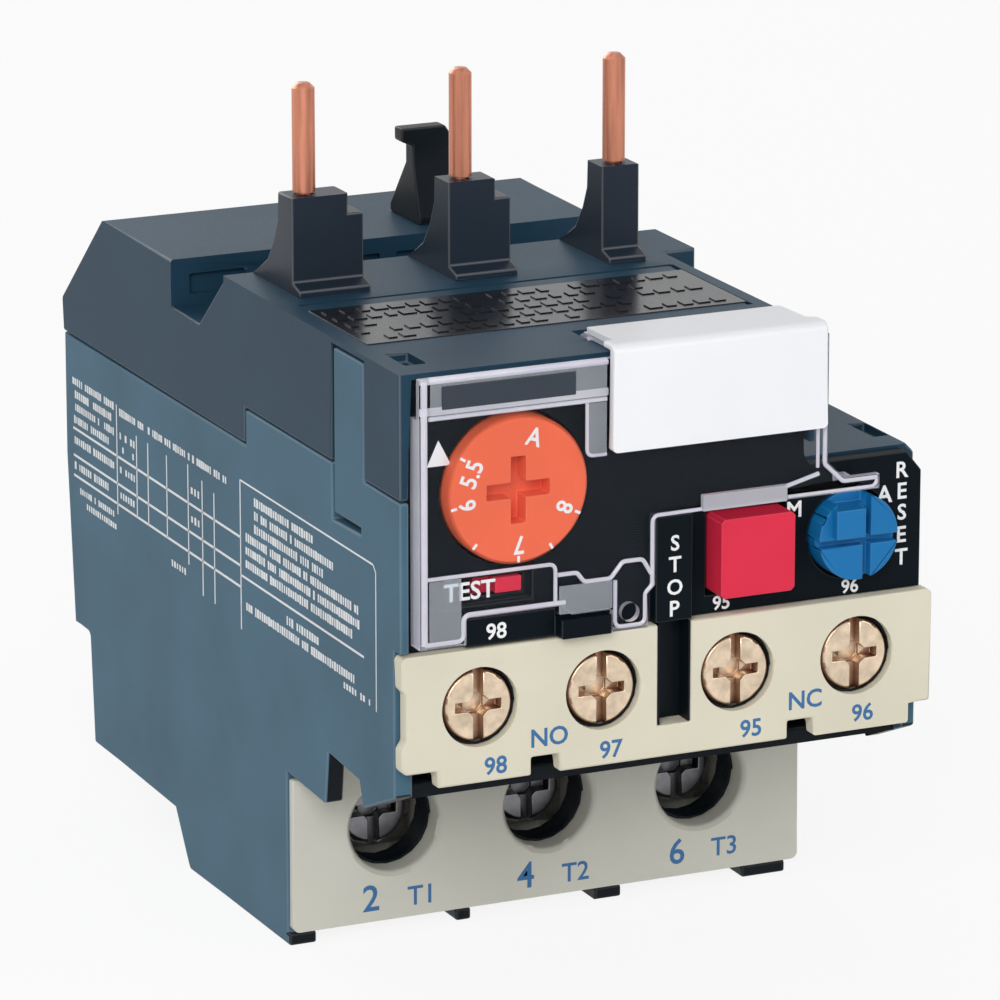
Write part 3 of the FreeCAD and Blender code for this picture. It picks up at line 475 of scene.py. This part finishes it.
# ---- Fascia panel ---------------------------------------------------------------------------
# Black thermoplastic panel behind the cover, fixed to the case. It carries the dial, the buttons
# and the white legends, and its faces are nearly without gloss.
fascia = moulded("fascia_moulding", (0.003, 0.006, 0.009), 0.5, grain=0.2, shine=0.06, highlight_share=0.2)
eased("fascia_panel", fascia, 0.12)


# ---- Setting dial ---------------------------------------------------------------------------
# Orange thermoplastic dial that turns in the fascia, with a cross-shaped recess for a
# screwdriver. Its scale is printed in white further down.
orange = moulded("orange_moulding", (0.84, 0.140, 0.062), 0.45, drift=0.05, highlight_share=0.2)
eased("setting_dial", orange, 0.1)


# ---- Stop button and test flag --------------------------------------------------------------
# Square red push button that opens the control contact, and the red flag that shows in the test
# window when the relay has tripped. Both are moulded in the same plastic.
red = moulded("red_moulding", (0.66, 0.022, 0.060), 0.42, drift=0.06, highlight_share=0.2)
eased("stop_button", red, 0.08)
eased("test_flag", red, 0.08)


# ---- Reset knob -----------------------------------------------------------------------------
# Blue thermoplastic knob on a plunger of the same colour. It is pressed to reset the relay and
# turned a quarter for automatic reset.
blue = moulded("blue_moulding", (0.006, 0.155, 0.40), 0.4, drift=0.08, highlight_share=0.2)
eased("reset_knob", blue, 0.1)
eased("reset_plunger", blue, 0.1)


# ---- Pins and screws ------------------------------------------------------------------------
# Drawn copper pins with chamfered tips, yellow-plated control screws and dark power screws. The
# screws carry a rolled thread, the recesses of their heads are darkened with painted shade, and
# black rings of painted shade line the wells around them.
def metal(name, colour, roughness, streak=(40, 40, 40), drift=0.18, recess_shade=(0.2, 0.07, 0.04),
          depth=0.0):
    """Bare or plated metal with streaks; with a depth, its corners and recesses get painted shade,
    darkened toward a given tone.
    """
    material, tree, shader = new_finish(name)
    shader.inputs["Metallic"].default_value = 1
    place = tree.nodes.new("ShaderNodeTexCoord")
    stretch = tree.nodes.new("ShaderNodeMapping")
    stretch.inputs["Scale"].default_value = streak
    link(tree, place, "Object", stretch, "Vector")
    lines = noise(tree, stretch, "Vector", scale=30, detail=4)
    tone = drifting(tree, lines, colour, drift)
    # Painted shade: ambient occlusion darkens the colour toward the tone given for the recesses,
    # as far as the depth allows.
    corner = tree.nodes.new("ShaderNodeAmbientOcclusion")
    corner.inputs["Distance"].default_value = 0.9 * MM
    corner.samples = 8
    recess_shade_share = tree.nodes.new("ShaderNodeMapRange")
    recess_shade_share.inputs["From Min"].default_value = 0.35
    recess_shade_share.inputs["From Max"].default_value = 0.85
    recess_shade_share.inputs["To Min"].default_value = depth
    recess_shade_share.inputs["To Max"].default_value = 0
    link(tree, corner, "AO", recess_shade_share, "Value")
    overlaid(tree, recess_shade_share.outputs["Result"], tone, recess_shade, shader)
    gloss_between(tree, lines, max(0.05, roughness - 0.1), roughness + 0.1, shader)
    return material


def swept(tree, curve, start, thickness, sides):
    """A round wire along a curve, its radius taken from one of the tree's inputs."""
    wire = tree.nodes.new("GeometryNodeCurvePrimitiveCircle")
    wire.inputs["Resolution"].default_value = sides
    link(tree, start, thickness, wire, "Radius")
    sweep = tree.nodes.new("GeometryNodeCurveToMesh")
    sweep.inputs["Fill Caps"].default_value = True
    link(tree, curve, "Curve", sweep, "Curve")
    link(tree, wire, "Curve", sweep, "Profile Curve")
    return sweep


coil_tree, start, end = new_tree("coil", [
    ("Turns", "Float"), ("Radius", "Float"), ("Wire", "Float"), ("Length", "Float"),
    ("Material", "Material")])
helix = coil_tree.nodes.new("GeometryNodeCurveSpiral")
helix.inputs["Resolution"].default_value = 20
link(coil_tree, start, "Turns", helix, "Rotations")
link(coil_tree, start, "Radius", helix, "Start Radius")
link(coil_tree, start, "Radius", helix, "End Radius")
link(coil_tree, start, "Length", helix, "Height")
rounded = coil_tree.nodes.new("GeometryNodeSetShadeSmooth")
link(coil_tree, swept(coil_tree, helix, start, "Wire", 7), "Mesh", rounded, "Geometry")
closed(coil_tree, rounded, "Geometry", start, end)
LIE_BACK = Matrix.Rotation(math.radians(-90), 4, "X")


def wound(x, y, z, turns, radius, thickness, length, finish):
    """A coil that runs back along Y from its first turn: a thread, a spring, and each ring of
    painted shade in a well.
    """
    coil = grown(coil_tree, {"Turns": float(turns), "Radius": radius * MM, "Wire": thickness * MM,
                             "Length": length * MM, "Material": finish})
    coil.transform(Matrix.Translation(Vector((x, y, z)) * MM) @ LIE_BACK)
    return coil


copper = metal("drawn_copper", (0.52, 0.21, 0.135), 0.34, (60, 60, 3), drift=0.35)
for node in set_of("line_pin", 3):
    eased(node, copper, 0.1)
plated = metal("yellow_zinc", (0.72, 0.58, 0.43), 0.36, depth=0.9)
dull = metal("dark_zinc", (0.22, 0.22, 0.235), 0.36, recess_shade=(0.01, 0.01, 0.012), depth=0.8)
THREAD_TURNS, THREAD_WIRE, THREAD_SUNK, SHANK_TIP = 8, 0.13, 0.14, 0.2
SCREWS = (("control", 4, plated, 1.5, 0.5, "brassy_steel"),
          ("power", 3, dull, 2.0, 0.7, "dark_steel"))
# Rings of painted shade: black coils that darken each control screw's well behind its head and
# line each power well.
WELL_SHADE_RINGS = {"control": {"step": 0.35, "turns": 2, "radius": 3.04, "wire": 0.09, "length": 0.2},
              "power": {"step": -2.6, "turns": 12, "radius": 3.68, "wire": 0.11, "length": 2.4}}
for kind, count, finish, radius, pitch, slot in SCREWS:
    for index, node in enumerate(set_of(f"{kind}_screw", count), 1):
        eased(node, finish, 0.08)
        low, high = (Vector(corner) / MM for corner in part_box(node))
        middle = (low + high) / 2
        length = THREAD_TURNS * pitch
        thread = wound(middle.x, high.y - SHANK_TIP - length, middle.z, THREAD_TURNS,
                       radius - THREAD_SUNK, THREAD_WIRE, length, finish)
        settle(f"{kind}_thread_{index}", [thread], frame["nodes"][node]["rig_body"])
        ring = WELL_SHADE_RINGS[kind]
        shade_collar = wound(middle.x, low.y + ring["step"], middle.z, ring["turns"], ring["radius"],
                       ring["wire"], ring["length"], black_and_shade)
        settle(f"{kind}_well_shade_ring_{index}", [shade_collar], "case")


# ---- Return springs -------------------------------------------------------------------------
# Wound steel wire springs behind the stop button and the reset knob. Each is drawn at one
# length and travels with its stem.
SPRING_TURNS, SPRING_WIRE, SPRING_INSET = 5, 0.2, 0.25
steel = metal("bright_steel", (0.56, 0.56, 0.57), 0.3)
for node in ("stop_spring", "reset_spring"):
    low, high = (Vector(corner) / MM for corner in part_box(node))
    middle = (low + high) / 2
    reach = (high.x - low.x) / 2
    length = high.y - low.y - 2 * SPRING_WIRE
    spring = wound(middle.x, low.y + SPRING_WIRE, middle.z, SPRING_TURNS, reach - SPRING_INSET,
                   SPRING_WIRE, length, steel)
    piece = settle(node + "_wound", [spring], frame["nodes"][node]["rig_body"])
    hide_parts(node)


# ---- Front cover ----------------------------------------------------------------------------
# Clear polycarbonate cover on a steel hinge pin. Its cut edges are frosted, frosted beads run
# along its outline and its windows, and a bare name strip lies across its upper left.
def blended(tree, share, first, second):
    """Ends a material with two shaders mixed by a share."""
    both = tree.nodes.new("ShaderNodeMixShader")
    tree.links.new(share, both.inputs["Fac"])
    link(tree, first, 0, both, 1)
    link(tree, second, 0, both, 2)
    link(tree, both, 0, tree.nodes["Material Output"], "Surface")


def see_through(name, low_tint, high_tint, clearness, frost, shine, index):
    """Clear plastic with a faint swirl in tint and haze; it casts no shadow."""
    material, tree, shader = new_finish(name)
    shader.inputs["Transmission Weight"].default_value = clearness
    shader.inputs["IOR"].default_value = index
    shader.inputs["Specular IOR Level"].default_value = shine
    place = tree.nodes.new("ShaderNodeTexCoord")
    swirl = noise(tree, place, "Object", scale=260)
    tint = toned(tree, swirl, low_tint, high_tint, ends=(0, 1))
    link(tree, tint, "Color", shader, "Base Color")
    gloss_between(tree, swirl, frost, frost + 0.05, shader)
    path = tree.nodes.new("ShaderNodeLightPath")
    open_air = tree.nodes.new("ShaderNodeBsdfTransparent")
    either = reckoned(tree, "MAXIMUM", path.outputs["Is Shadow Ray"],
                      path.outputs["Is Diffuse Ray"])
    blended(tree, either, shader, open_air)
    return material


clear = see_through("clear_polycarbonate", (0.93, 0.93, 0.98), (0.99, 0.99, 1.0),
                    1.0, 0.01, 0.05, 1.15)
hazy = see_through("hazy_plate", (0.62, 0.68, 0.76), (0.86, 0.90, 0.95), 0.85, 0.12, 0.4, 1.4)
frosted = see_through("frosted_edge", (0.70, 0.69, 0.83), (0.94, 0.93, 0.99),
                      0.55, 0.14, 0.6, 1.45)
cover = eased("front_cover", clear, 0.1)
cover.data.materials.append(frosted)
sheet = FRONT_PLANE - 0.95
for face in cover.data.polygons:
    cut_edge = abs(face.normal.y) < 0.6
    raised = face.center.y < (sheet - 0.05) * MM
    if cut_edge or raised:
        face.material_index = 1

bead_tree, start, end = new_tree("bead", [
    ("Geometry", "Geometry"), ("Corner", "Float"), ("Thickness", "Float"),
    ("Material", "Material")])
route = bead_tree.nodes.new("GeometryNodeMeshToCurve")
link(bead_tree, start, "Geometry", route, "Mesh")
turned = bead_tree.nodes.new("GeometryNodeFilletCurve")
turned.mode = "POLY"
turned.inputs["Count"].default_value = 4
turned.inputs["Limit Radius"].default_value = True
link(bead_tree, route, "Curve", turned, "Curve")
link(bead_tree, start, "Corner", turned, "Radius")
closed(bead_tree, swept(bead_tree, turned, start, "Thickness", 8), "Mesh", start, end)
BEAD_CORNER, BEAD_SLIM = 0.5, 0.8
BEADS = [
    (0.34, [(-21.0, 31.0), (-21.0, 51.4)]),
    (0.24, [(-20.9, 31.0), (-17.8, 31.0), (-17.8, 33.0), (-9.4, 33.0)]),
    (0.20, [(-20.9, 36.1), (-10.2, 36.1), (-10.2, 33.2)]),
    (0.28, [(-20.6, 51.5), (-6.0, 51.5)]),
    (0.22, [(-20.6, 48.5), (-6.0, 48.5)]),
    (0.18, [(-7.6, 48.3), (-7.6, 44.2), (-6.0, 44.2)]),
    (0.22, [(-10.0, 35.2), (-8.4, 35.2), (-7.8, 34.4), (-5.6, 34.4), (-4.6, 35.6), (-2.9, 35.6),
            (-2.2, 34.4)]),
    (0.20, [(-5.2, 34.2), (-5.2, 30.5), (-2.7, 30.5), (-2.7, 32.9), (-2.1, 33.5), (-2.1, 38.9),
            (2.0, 38.95)]),
    (0.22, [(9.2, 39.9), (12.0, 40.6)]),
    (0.22, [(12.5, 51.5), (12.5, 41.3), (14.1, 39.75), (17.0, 39.75)]),
    (0.18, [(11.9, 44.2), (11.9, 41.1)]),
    (0.18, [(9.4, 39.05), (17.0, 39.05), (17.0, 39.6)]),
]
beads = []
for thickness, points in BEADS:
    guide = bpy.data.meshes.new("route")
    guide.from_pydata([Vector((x, sheet, z)) * MM for x, z in points],
                      [(step, step + 1) for step in range(len(points) - 1)], [])
    beads.append(grown(bead_tree, {"Corner": BEAD_CORNER * MM, "Material": frosted,
                                   "Thickness": thickness * BEAD_SLIM * MM}, guide))
settle("cover_beads", beads, "cover")


def plate_piece(x0, x1, z0, z1, depth, material):
    """A thin plate with softened edges on the outside of the cover."""
    centre = ((x0 + x1) / 2, sheet - depth / 2 + 0.02, (z0 + z1) / 2)
    return soft_box("plate", centre, (x1 - x0, depth, z1 - z0), depth * 0.3, material)


settle("cover_strip", [plate_piece(-20.5, -6.0, 48.6, 51.4, 0.14, hazy),
                       plate_piece(-7.5, -6.0, 44.3, 48.3, 0.1, hazy),
                       plate_piece(-9.9, -5.5, 32.1, 34.3, 0.2, hazy),
                       plate_piece(-20.6, -18.0, 31.2, 35.9, 0.1, hazy)], "cover")
name_ground = moulded("name_ground", (0.030, 0.040, 0.056), 0.35, grain=0.1, shine=0.3)
name_plate = plate_piece(-19.6, -8.6, 49.15, 50.95, 0.22, name_ground)
settle("name_strip", [name_plate], "cover")


# ---- Marker plate ---------------------------------------------------------------------------
# White thermoplastic plate clipped over the cover, left blank for the user's own marking. It
# swings with the cover.
white = moulded("white_plate", (0.84, 0.85, 0.88), 0.4, grain=0.1, drift=0.02, highlight_share=0.0)
eased("marker_plate", white, 0.2)


# ---- Inner works ----------------------------------------------------------------------------
# Bimetals, heaters, trip train, contacts, clamps and hinge pins. Most are out of sight behind
# the blocks, so they keep the solids' own shape and take only their metal or plastic.
natural = moulded("natural_moulding", (0.78, 0.75, 0.66), 0.45, drift=0.03)
tape = metal("heater_tape", (0.42, 0.40, 0.38), 0.4)
works = {
    steel: ["cover_hinge_pin", "trip_lever_pin"] + set_of("power_clamp", 3)
           + set_of("bimetal", 3) + set_of("control_clamp", 4),
    natural: ["trip_slide", "trip_lever", "contact_carrier"],
    copper: ["nc_bridge", "no_bridge"] + set_of("load_lead", 3) + set_of("contact_blade", 4),
    tape: set_of("heater", 3),
    orange: ["dial_cam"],
}
for finish, names in works.items():
    for name in names:
        data = frame["nodes"][name].data
        data.materials.clear()
        data.materials.append(finish)


# ---- Printing -------------------------------------------------------------------------------
# Terminal numbers, legends and the dial's scale in thin ink, all of them common to such relays.
# Each colour on each part is one mesh of flat letters, and stands a few microns proud.
white_ink = moulded("white_ink", (0.80, 0.81, 0.82), 0.5, grain=0.15, drift=0.05, highlight_share=0.0)
blue_ink = moulded("blue_ink", (0.045, 0.155, 0.34), 0.5, grain=0.15, drift=0.05, highlight_share=0.0)
UP = Vector((0, 0, 1))
FACING = {"front": (Vector((1, 0, 0)), UP), "left": (Vector((0, -1, 0)), UP)}
INK = 0.003


def on_face(place, facing, across, up, lift):
    """A point of ink on a face, from millimetres across, up and out from a place."""
    right, rise = FACING[facing]
    return (Vector(place) + right * across + rise * up + right.cross(rise) * lift) * MM


def letters(words, cap, spot, tilt=0, squeeze=1.0, weight=0.02):
    """Letters on the front with capitals this high, centred on a spot, all in millimetres."""
    text = bpy.data.curves.new(words, "FONT")
    text.body = words
    text.align_x = "CENTER"
    text.size = 1
    text.offset = weight
    text.extrude = 0.01
    text.resolution_u = 3
    mesh = worked(placed("letters", text))
    bpy.data.curves.remove(text)
    points = np.empty(len(mesh.vertices) * 3, np.float32)
    mesh.vertices.foreach_get("co", points)
    points = points.reshape(-1, 3)
    faces = [tuple(face.vertices) for face in mesh.polygons]
    bpy.data.meshes.remove(mesh)
    low, high = points.min(0), points.max(0)
    scale = cap / (high[1] - low[1])
    flat = (points - (low + high) / 2) * (scale * squeeze, scale, 1)
    turn = math.radians(tilt)
    across = flat[:, 0] * math.cos(turn) - flat[:, 1] * math.sin(turn)
    up = flat[:, 0] * math.sin(turn) + flat[:, 1] * math.cos(turn)
    made = [on_face(spot, "front", float(a), float(b), INK if c > 0 else -INK)
            for a, b, c in zip(across, up, flat[:, 2])]
    return made, faces


BAR_FACES = ((0, 1, 2, 3), (7, 6, 5, 4), (0, 4, 5, 1), (1, 5, 6, 2), (2, 6, 7, 3),
             (3, 7, 4, 0))


def strokes(lines, place, facing="front"):
    """Straight printed lines: each has two ends and a width, in millimetres on the surface."""
    points, faces = [], []
    for x0, z0, x1, z1, wide in lines:
        near, far = Vector((x0, z0)), Vector((x1, z1))
        along = (far - near).normalized()
        side = Vector((-along.y, along.x)) * wide / 2
        ring = [near - side, far - side, far + side, near + side]
        first = len(points)
        for lift in (INK, -INK):
            points += [on_face(place, facing, spot.x, spot.y, lift) for spot in ring]
        faces += [tuple(first + corner for corner in face) for face in BAR_FACES]
    return points, faces


def print_on(name, body, ink, parts):
    """One piece of ink out of several groups of letters and lines."""
    points, faces = [], []
    for more, these in parts:
        faces += [tuple(corner + len(points) for corner in face) for face in these]
        points += more
    mesh = bpy.data.meshes.new(name)
    mesh.from_pydata(points, [], faces)
    mesh.materials.append(ink)
    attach(placed(name, mesh), body)


def panel_spot(x, z, y=0.0):
    """A place on the front, this far behind the control block's face."""
    return (x, FRONT_PLANE + y, z)


print_on("control_numbers", "case", blue_ink, [
    letters(words, cap, panel_spot(x, z)) for words, cap, x, z in (
        ("98", 1.45, -14.7, 20.5), ("NO", 1.5, -10.2, 22.2), ("97", 1.45, -5.0, 20.5),
        ("95", 1.45, 6.9, 20.6), ("NC", 1.5, 11.6, 22.3), ("96", 1.45, 16.6, 20.6))])
print_on("power_numbers", "case", blue_ink, [
    letters(words, cap, panel_spot(x, z, 21.8), weight=0.012) for words, cap, x, z in (
        ("2", 2.2, -15.6, 3.1), ("T1", 1.6, -11.4, 2.8), ("4", 2.2, -2.1, 3.1),
        ("T2", 1.6, 2.3, 2.8), ("6", 2.2, 11.4, 3.2), ("T3", 1.6, 15.6, 3.1))])
FASCIA_AT, COLUMN_AT, SEAL_LUG_AT = 0.9, -0.2, 0.1
legends = [letters(letter, 1.25, panel_spot(0.2, z, COLUMN_AT)) for letter, z in
           zip("STOP", (36.3, 34.6, 32.8, 31.1))]
legends += [letters(letter, 1.3, panel_spot(20.25, z, FASCIA_AT)) for letter, z in
            zip("RESET", (39.5, 37.8, 36.1, 34.3, 32.5))]
legends += [letters(words, cap, panel_spot(x, z, y)) for words, cap, x, z, y in (
    ("98", 1.3, -14.6, 31.1, SEAL_LUG_AT), ("95", 1.15, 4.7, 30.72, FASCIA_AT),
    ("96", 1.15, 15.8, 30.68, FASCIA_AT), ("M", 1.3, 10.9, 37.4, FASCIA_AT),
    ("A", 1.4, 18.7, 37.7, FASCIA_AT), ("TEST", 1.45, -16.5, 34.3, FASCIA_AT))]
pointer = [(-20.0, 44.3), (-18.0, 44.3), (-19.05, 46.3)]
legends.append(([Vector(panel_spot(x, z, FASCIA_AT + lift)) * MM
                 for lift in (INK, -INK) for x, z in pointer],
                [(3, 4, 5), (2, 1, 0), (0, 1, 4, 3), (1, 2, 5, 4), (2, 0, 3, 5)]))
print_on("panel_legends", "case", white_ink, legends)
DIAL_X, DIAL_Z, DIAL_FRONT = -12.9, 42.0, -0.1
TICK_NEAR, TICK_FAR, TICK_WIDE = 5.15, 5.65, 0.22
scale = []
for words, turn, reach in (("5.5", 157, 4.2), ("6", 190, 4.3), ("7", 270, 4.3), ("8", 335, 4.2),
                           ("A", 72, 4.2)):
    angle = math.radians(turn)
    spot = panel_spot(DIAL_X + reach * math.cos(angle), DIAL_Z + reach * math.sin(angle),
                      DIAL_FRONT)
    scale.append(letters(words, 1.45, spot, tilt=turn - 90, squeeze=0.9))
ticks = []
for turn in (148, 190, 228, 270, 300, 335):
    right, rise = math.cos(math.radians(turn)), math.sin(math.radians(turn))
    ticks.append((TICK_NEAR * right, TICK_NEAR * rise, TICK_FAR * right, TICK_FAR * rise,
                  TICK_WIDE))
scale.append(strokes(ticks, panel_spot(DIAL_X, DIAL_Z, DIAL_FRONT)))
print_on("dial_scale", "dial", white_ink, scale)


# ---- Side table -----------------------------------------------------------------------------
# The left side carries a ruled table and a block of small print in the same white ink. Plain
# bars stand for the words, so the rows say nothing.
SIDE = Vector((-22.5, 0, 0))


def side_line(first, last, wide):
    """A ruled line between two places, each a depth behind the front face and a height."""
    ends = [(-(depth + FRONT_PLANE), z) for depth, z in (first, last)]
    return (*ends[0], *ends[1], wide)


columns = [(58.0, 26.2, 35.6), (53.6, 27.1, 34.0), (51.1, 27.1, 34.0), (47.0, 27.1, 34.0),
           (42.4, 26.0, 34.4), (39.4, 24.2, 33.8), (36.9, 24.2, 33.4), (31.4, 23.6, 35.9)]
border = [(31.4, 35.9), (5.2, 35.9), (4.7, 35.4), (4.7, 24.4)]
lines = [side_line((depth, low), (depth, high), 0.2) for depth, low, high in columns]
lines += [side_line((68.0, z), (31.4, z), 0.22) for z in (31.2, 28.85, 27.1)]
lines += [side_line(first, last, 0.16) for first, last in zip(border, border[1:])]
lines.append(side_line((31.4, 28.1), (7.0, 28.1), 0.2))
print_on("side_rules", "case", white_ink, [strokes(lines, SIDE, "left")])
ONTO_LEFT = Matrix(((0, 0, -1, 0), (-1, 0, 0, 0), (0, 1, 0, 0), (0, 0, 0, 1)))
BAR_WIDE, BAR_APART, BAR_THICK, BAR_STRETCH = 0.42, 0.44, 0.006, 1.15
SIDE_ROWS = (
    (67.8, 58.8, 35.3, 0.6, 0.92), (67.8, 59.4, 34.2, 0.6, 0.92), (67.8, 58.8, 33.1, 0.6, 0.9),
    (67.6, 60.0, 32.0, 0.6, 0.9), (67.6, 58.9, 30.2, 0.6, 0.88), (67.6, 60.2, 28.0, 0.6, 0.85),
    (57.2, 54.2, 33.1, 0.55, 0.8), (57.2, 54.4, 32.0, 0.55, 0.8), (57.2, 54.2, 30.2, 0.55, 0.8),
    (57.2, 54.4, 28.0, 0.55, 0.8), (57.2, 34.4, 35.1, 0.6, 0.78), (41.6, 40.2, 32.4, 0.55, 0.8),
    (41.6, 40.2, 30.0, 0.55, 0.8), (66.5, 59.0, 26.0, 0.5, 0.85), (65.5, 58.6, 25.0, 0.5, 0.85),
    (46.0, 41.6, 25.2, 0.5, 0.85), (28.4, 17.0, 34.8, 0.65, 0.88), (28.4, 13.0, 33.7, 0.65, 0.88),
    (28.4, 15.0, 32.6, 0.65, 0.88), (30.2, 8.2, 31.5, 0.65, 0.88), (30.2, 7.6, 30.4, 0.65, 0.88),
    (30.2, 9.4, 29.3, 0.65, 0.88), (22.0, 15.0, 26.9, 0.65, 0.88), (30.2, 9.0, 25.8, 0.65, 0.88),
    (10.8, 6.0, 24.8, 0.5, 0.85))
words = []
for seed, (y0, y1, z, tall, kept) in enumerate(SIDE_ROWS, 1):
    wide = y0 - y1
    bar = (BAR_WIDE, tall * BAR_STRETCH, BAR_THICK)
    row = small_print(wide, int(wide / BAR_APART), bar, kept, seed, white_ink)
    spot = Vector((SIDE.x, (y0 + y1) / 2 + FRONT_PLANE, z))
    row.transform(Matrix.Translation(spot * MM) @ ONTO_LEFT)
    words.append(row)
settle("side_words", words, "case")


# ---- Studio ---------------------------------------------------------------------------------
# Pale floor and soft lamps. Straight looks, mirrored looks and looks through the clear cover all
# find an even near-white behind the relay, and the floor keeps its soft shadow.
FLOOR_HALF = 3
floor_mesh = bpy.data.meshes.new("floor")
floor_corners = [(FLOOR_HALF * x, FLOOR_HALF * y, 0)
                 for x, y in ((-1, -1), (1, -1), (1, 1), (-1, 1))]
floor_mesh.from_pydata(floor_corners, [], [(0, 1, 2, 3)])
floor = placed("floor", floor_mesh)


def seen(tree):
    """One where a ray comes straight from the camera, off a mirror or through clear plastic."""
    path = tree.nodes.new("ShaderNodeLightPath")
    mirrored = reckoned(tree, "MAXIMUM", path.outputs["Is Camera Ray"],
                        path.outputs["Is Glossy Ray"])
    return reckoned(tree, "MAXIMUM", mirrored, path.outputs["Is Transmission Ray"])


FLOOR_GLOW = 0.88
floor_finish, tree, ground = new_finish("pale_floor")
ground.inputs["Base Color"].default_value = (0.86, 0.86, 0.86, 1)
ground.inputs["Roughness"].default_value = 0.9
ground.inputs["Specular IOR Level"].default_value = 0.1
glow = tree.nodes.new("ShaderNodeEmission")
blended(tree, reckoned(tree, "MULTIPLY", seen(tree), FLOOR_GLOW), ground, glow)
floor_mesh.materials.append(floor_finish)
floor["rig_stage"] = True

world = bpy.data.worlds.new("studio")
bpy.context.scene.world = world
world.use_nodes = True
tree = world.node_tree
air = tree.nodes["Background"]
air.inputs["Color"].default_value = (1, 1, 1, 1)
level = tree.nodes.new("ShaderNodeMapRange")
level.inputs["To Min"].default_value = 0.3
level.inputs["To Max"].default_value = 1
tree.links.new(seen(tree), level.inputs["Value"])
link(tree, level, "Result", air, "Strength")


def aimed(thing, spot, target):
    """Stands a lamp or the camera at a spot and turns it to a target."""
    thing.location = spot
    thing.rotation_euler = (Vector(target) - thing.location).to_track_quat("-Z", "Y").to_euler()


LAMPS = (("key", (-0.5, -0.75, 0.5), 0.5, 6.3), ("fill", (0.7, -0.6, 0.35), 0.5, 2.0),
         ("back", (-0.1, 0.8, 0.45), 0.6, 2.8))
for name, spot, width, power in LAMPS:
    lamp = bpy.data.lights.new(name, "AREA")
    lamp.size = width
    lamp.energy = power
    aimed(placed(name, lamp), spot, (0, 0, 0.03))

lens = bpy.data.cameras.new("camera")
lens.lens = 240
lens.sensor_width = 36
lens.clip_start = 0.01
camera = placed("camera", lens)
aimed(camera, (-0.2147, -0.4711, 0.177), (0.00073, -0.00120, 0.03113))
bpy.context.scene.camera = camera
bpy.context.scene.view_settings.view_transform = "Standard"

low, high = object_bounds()
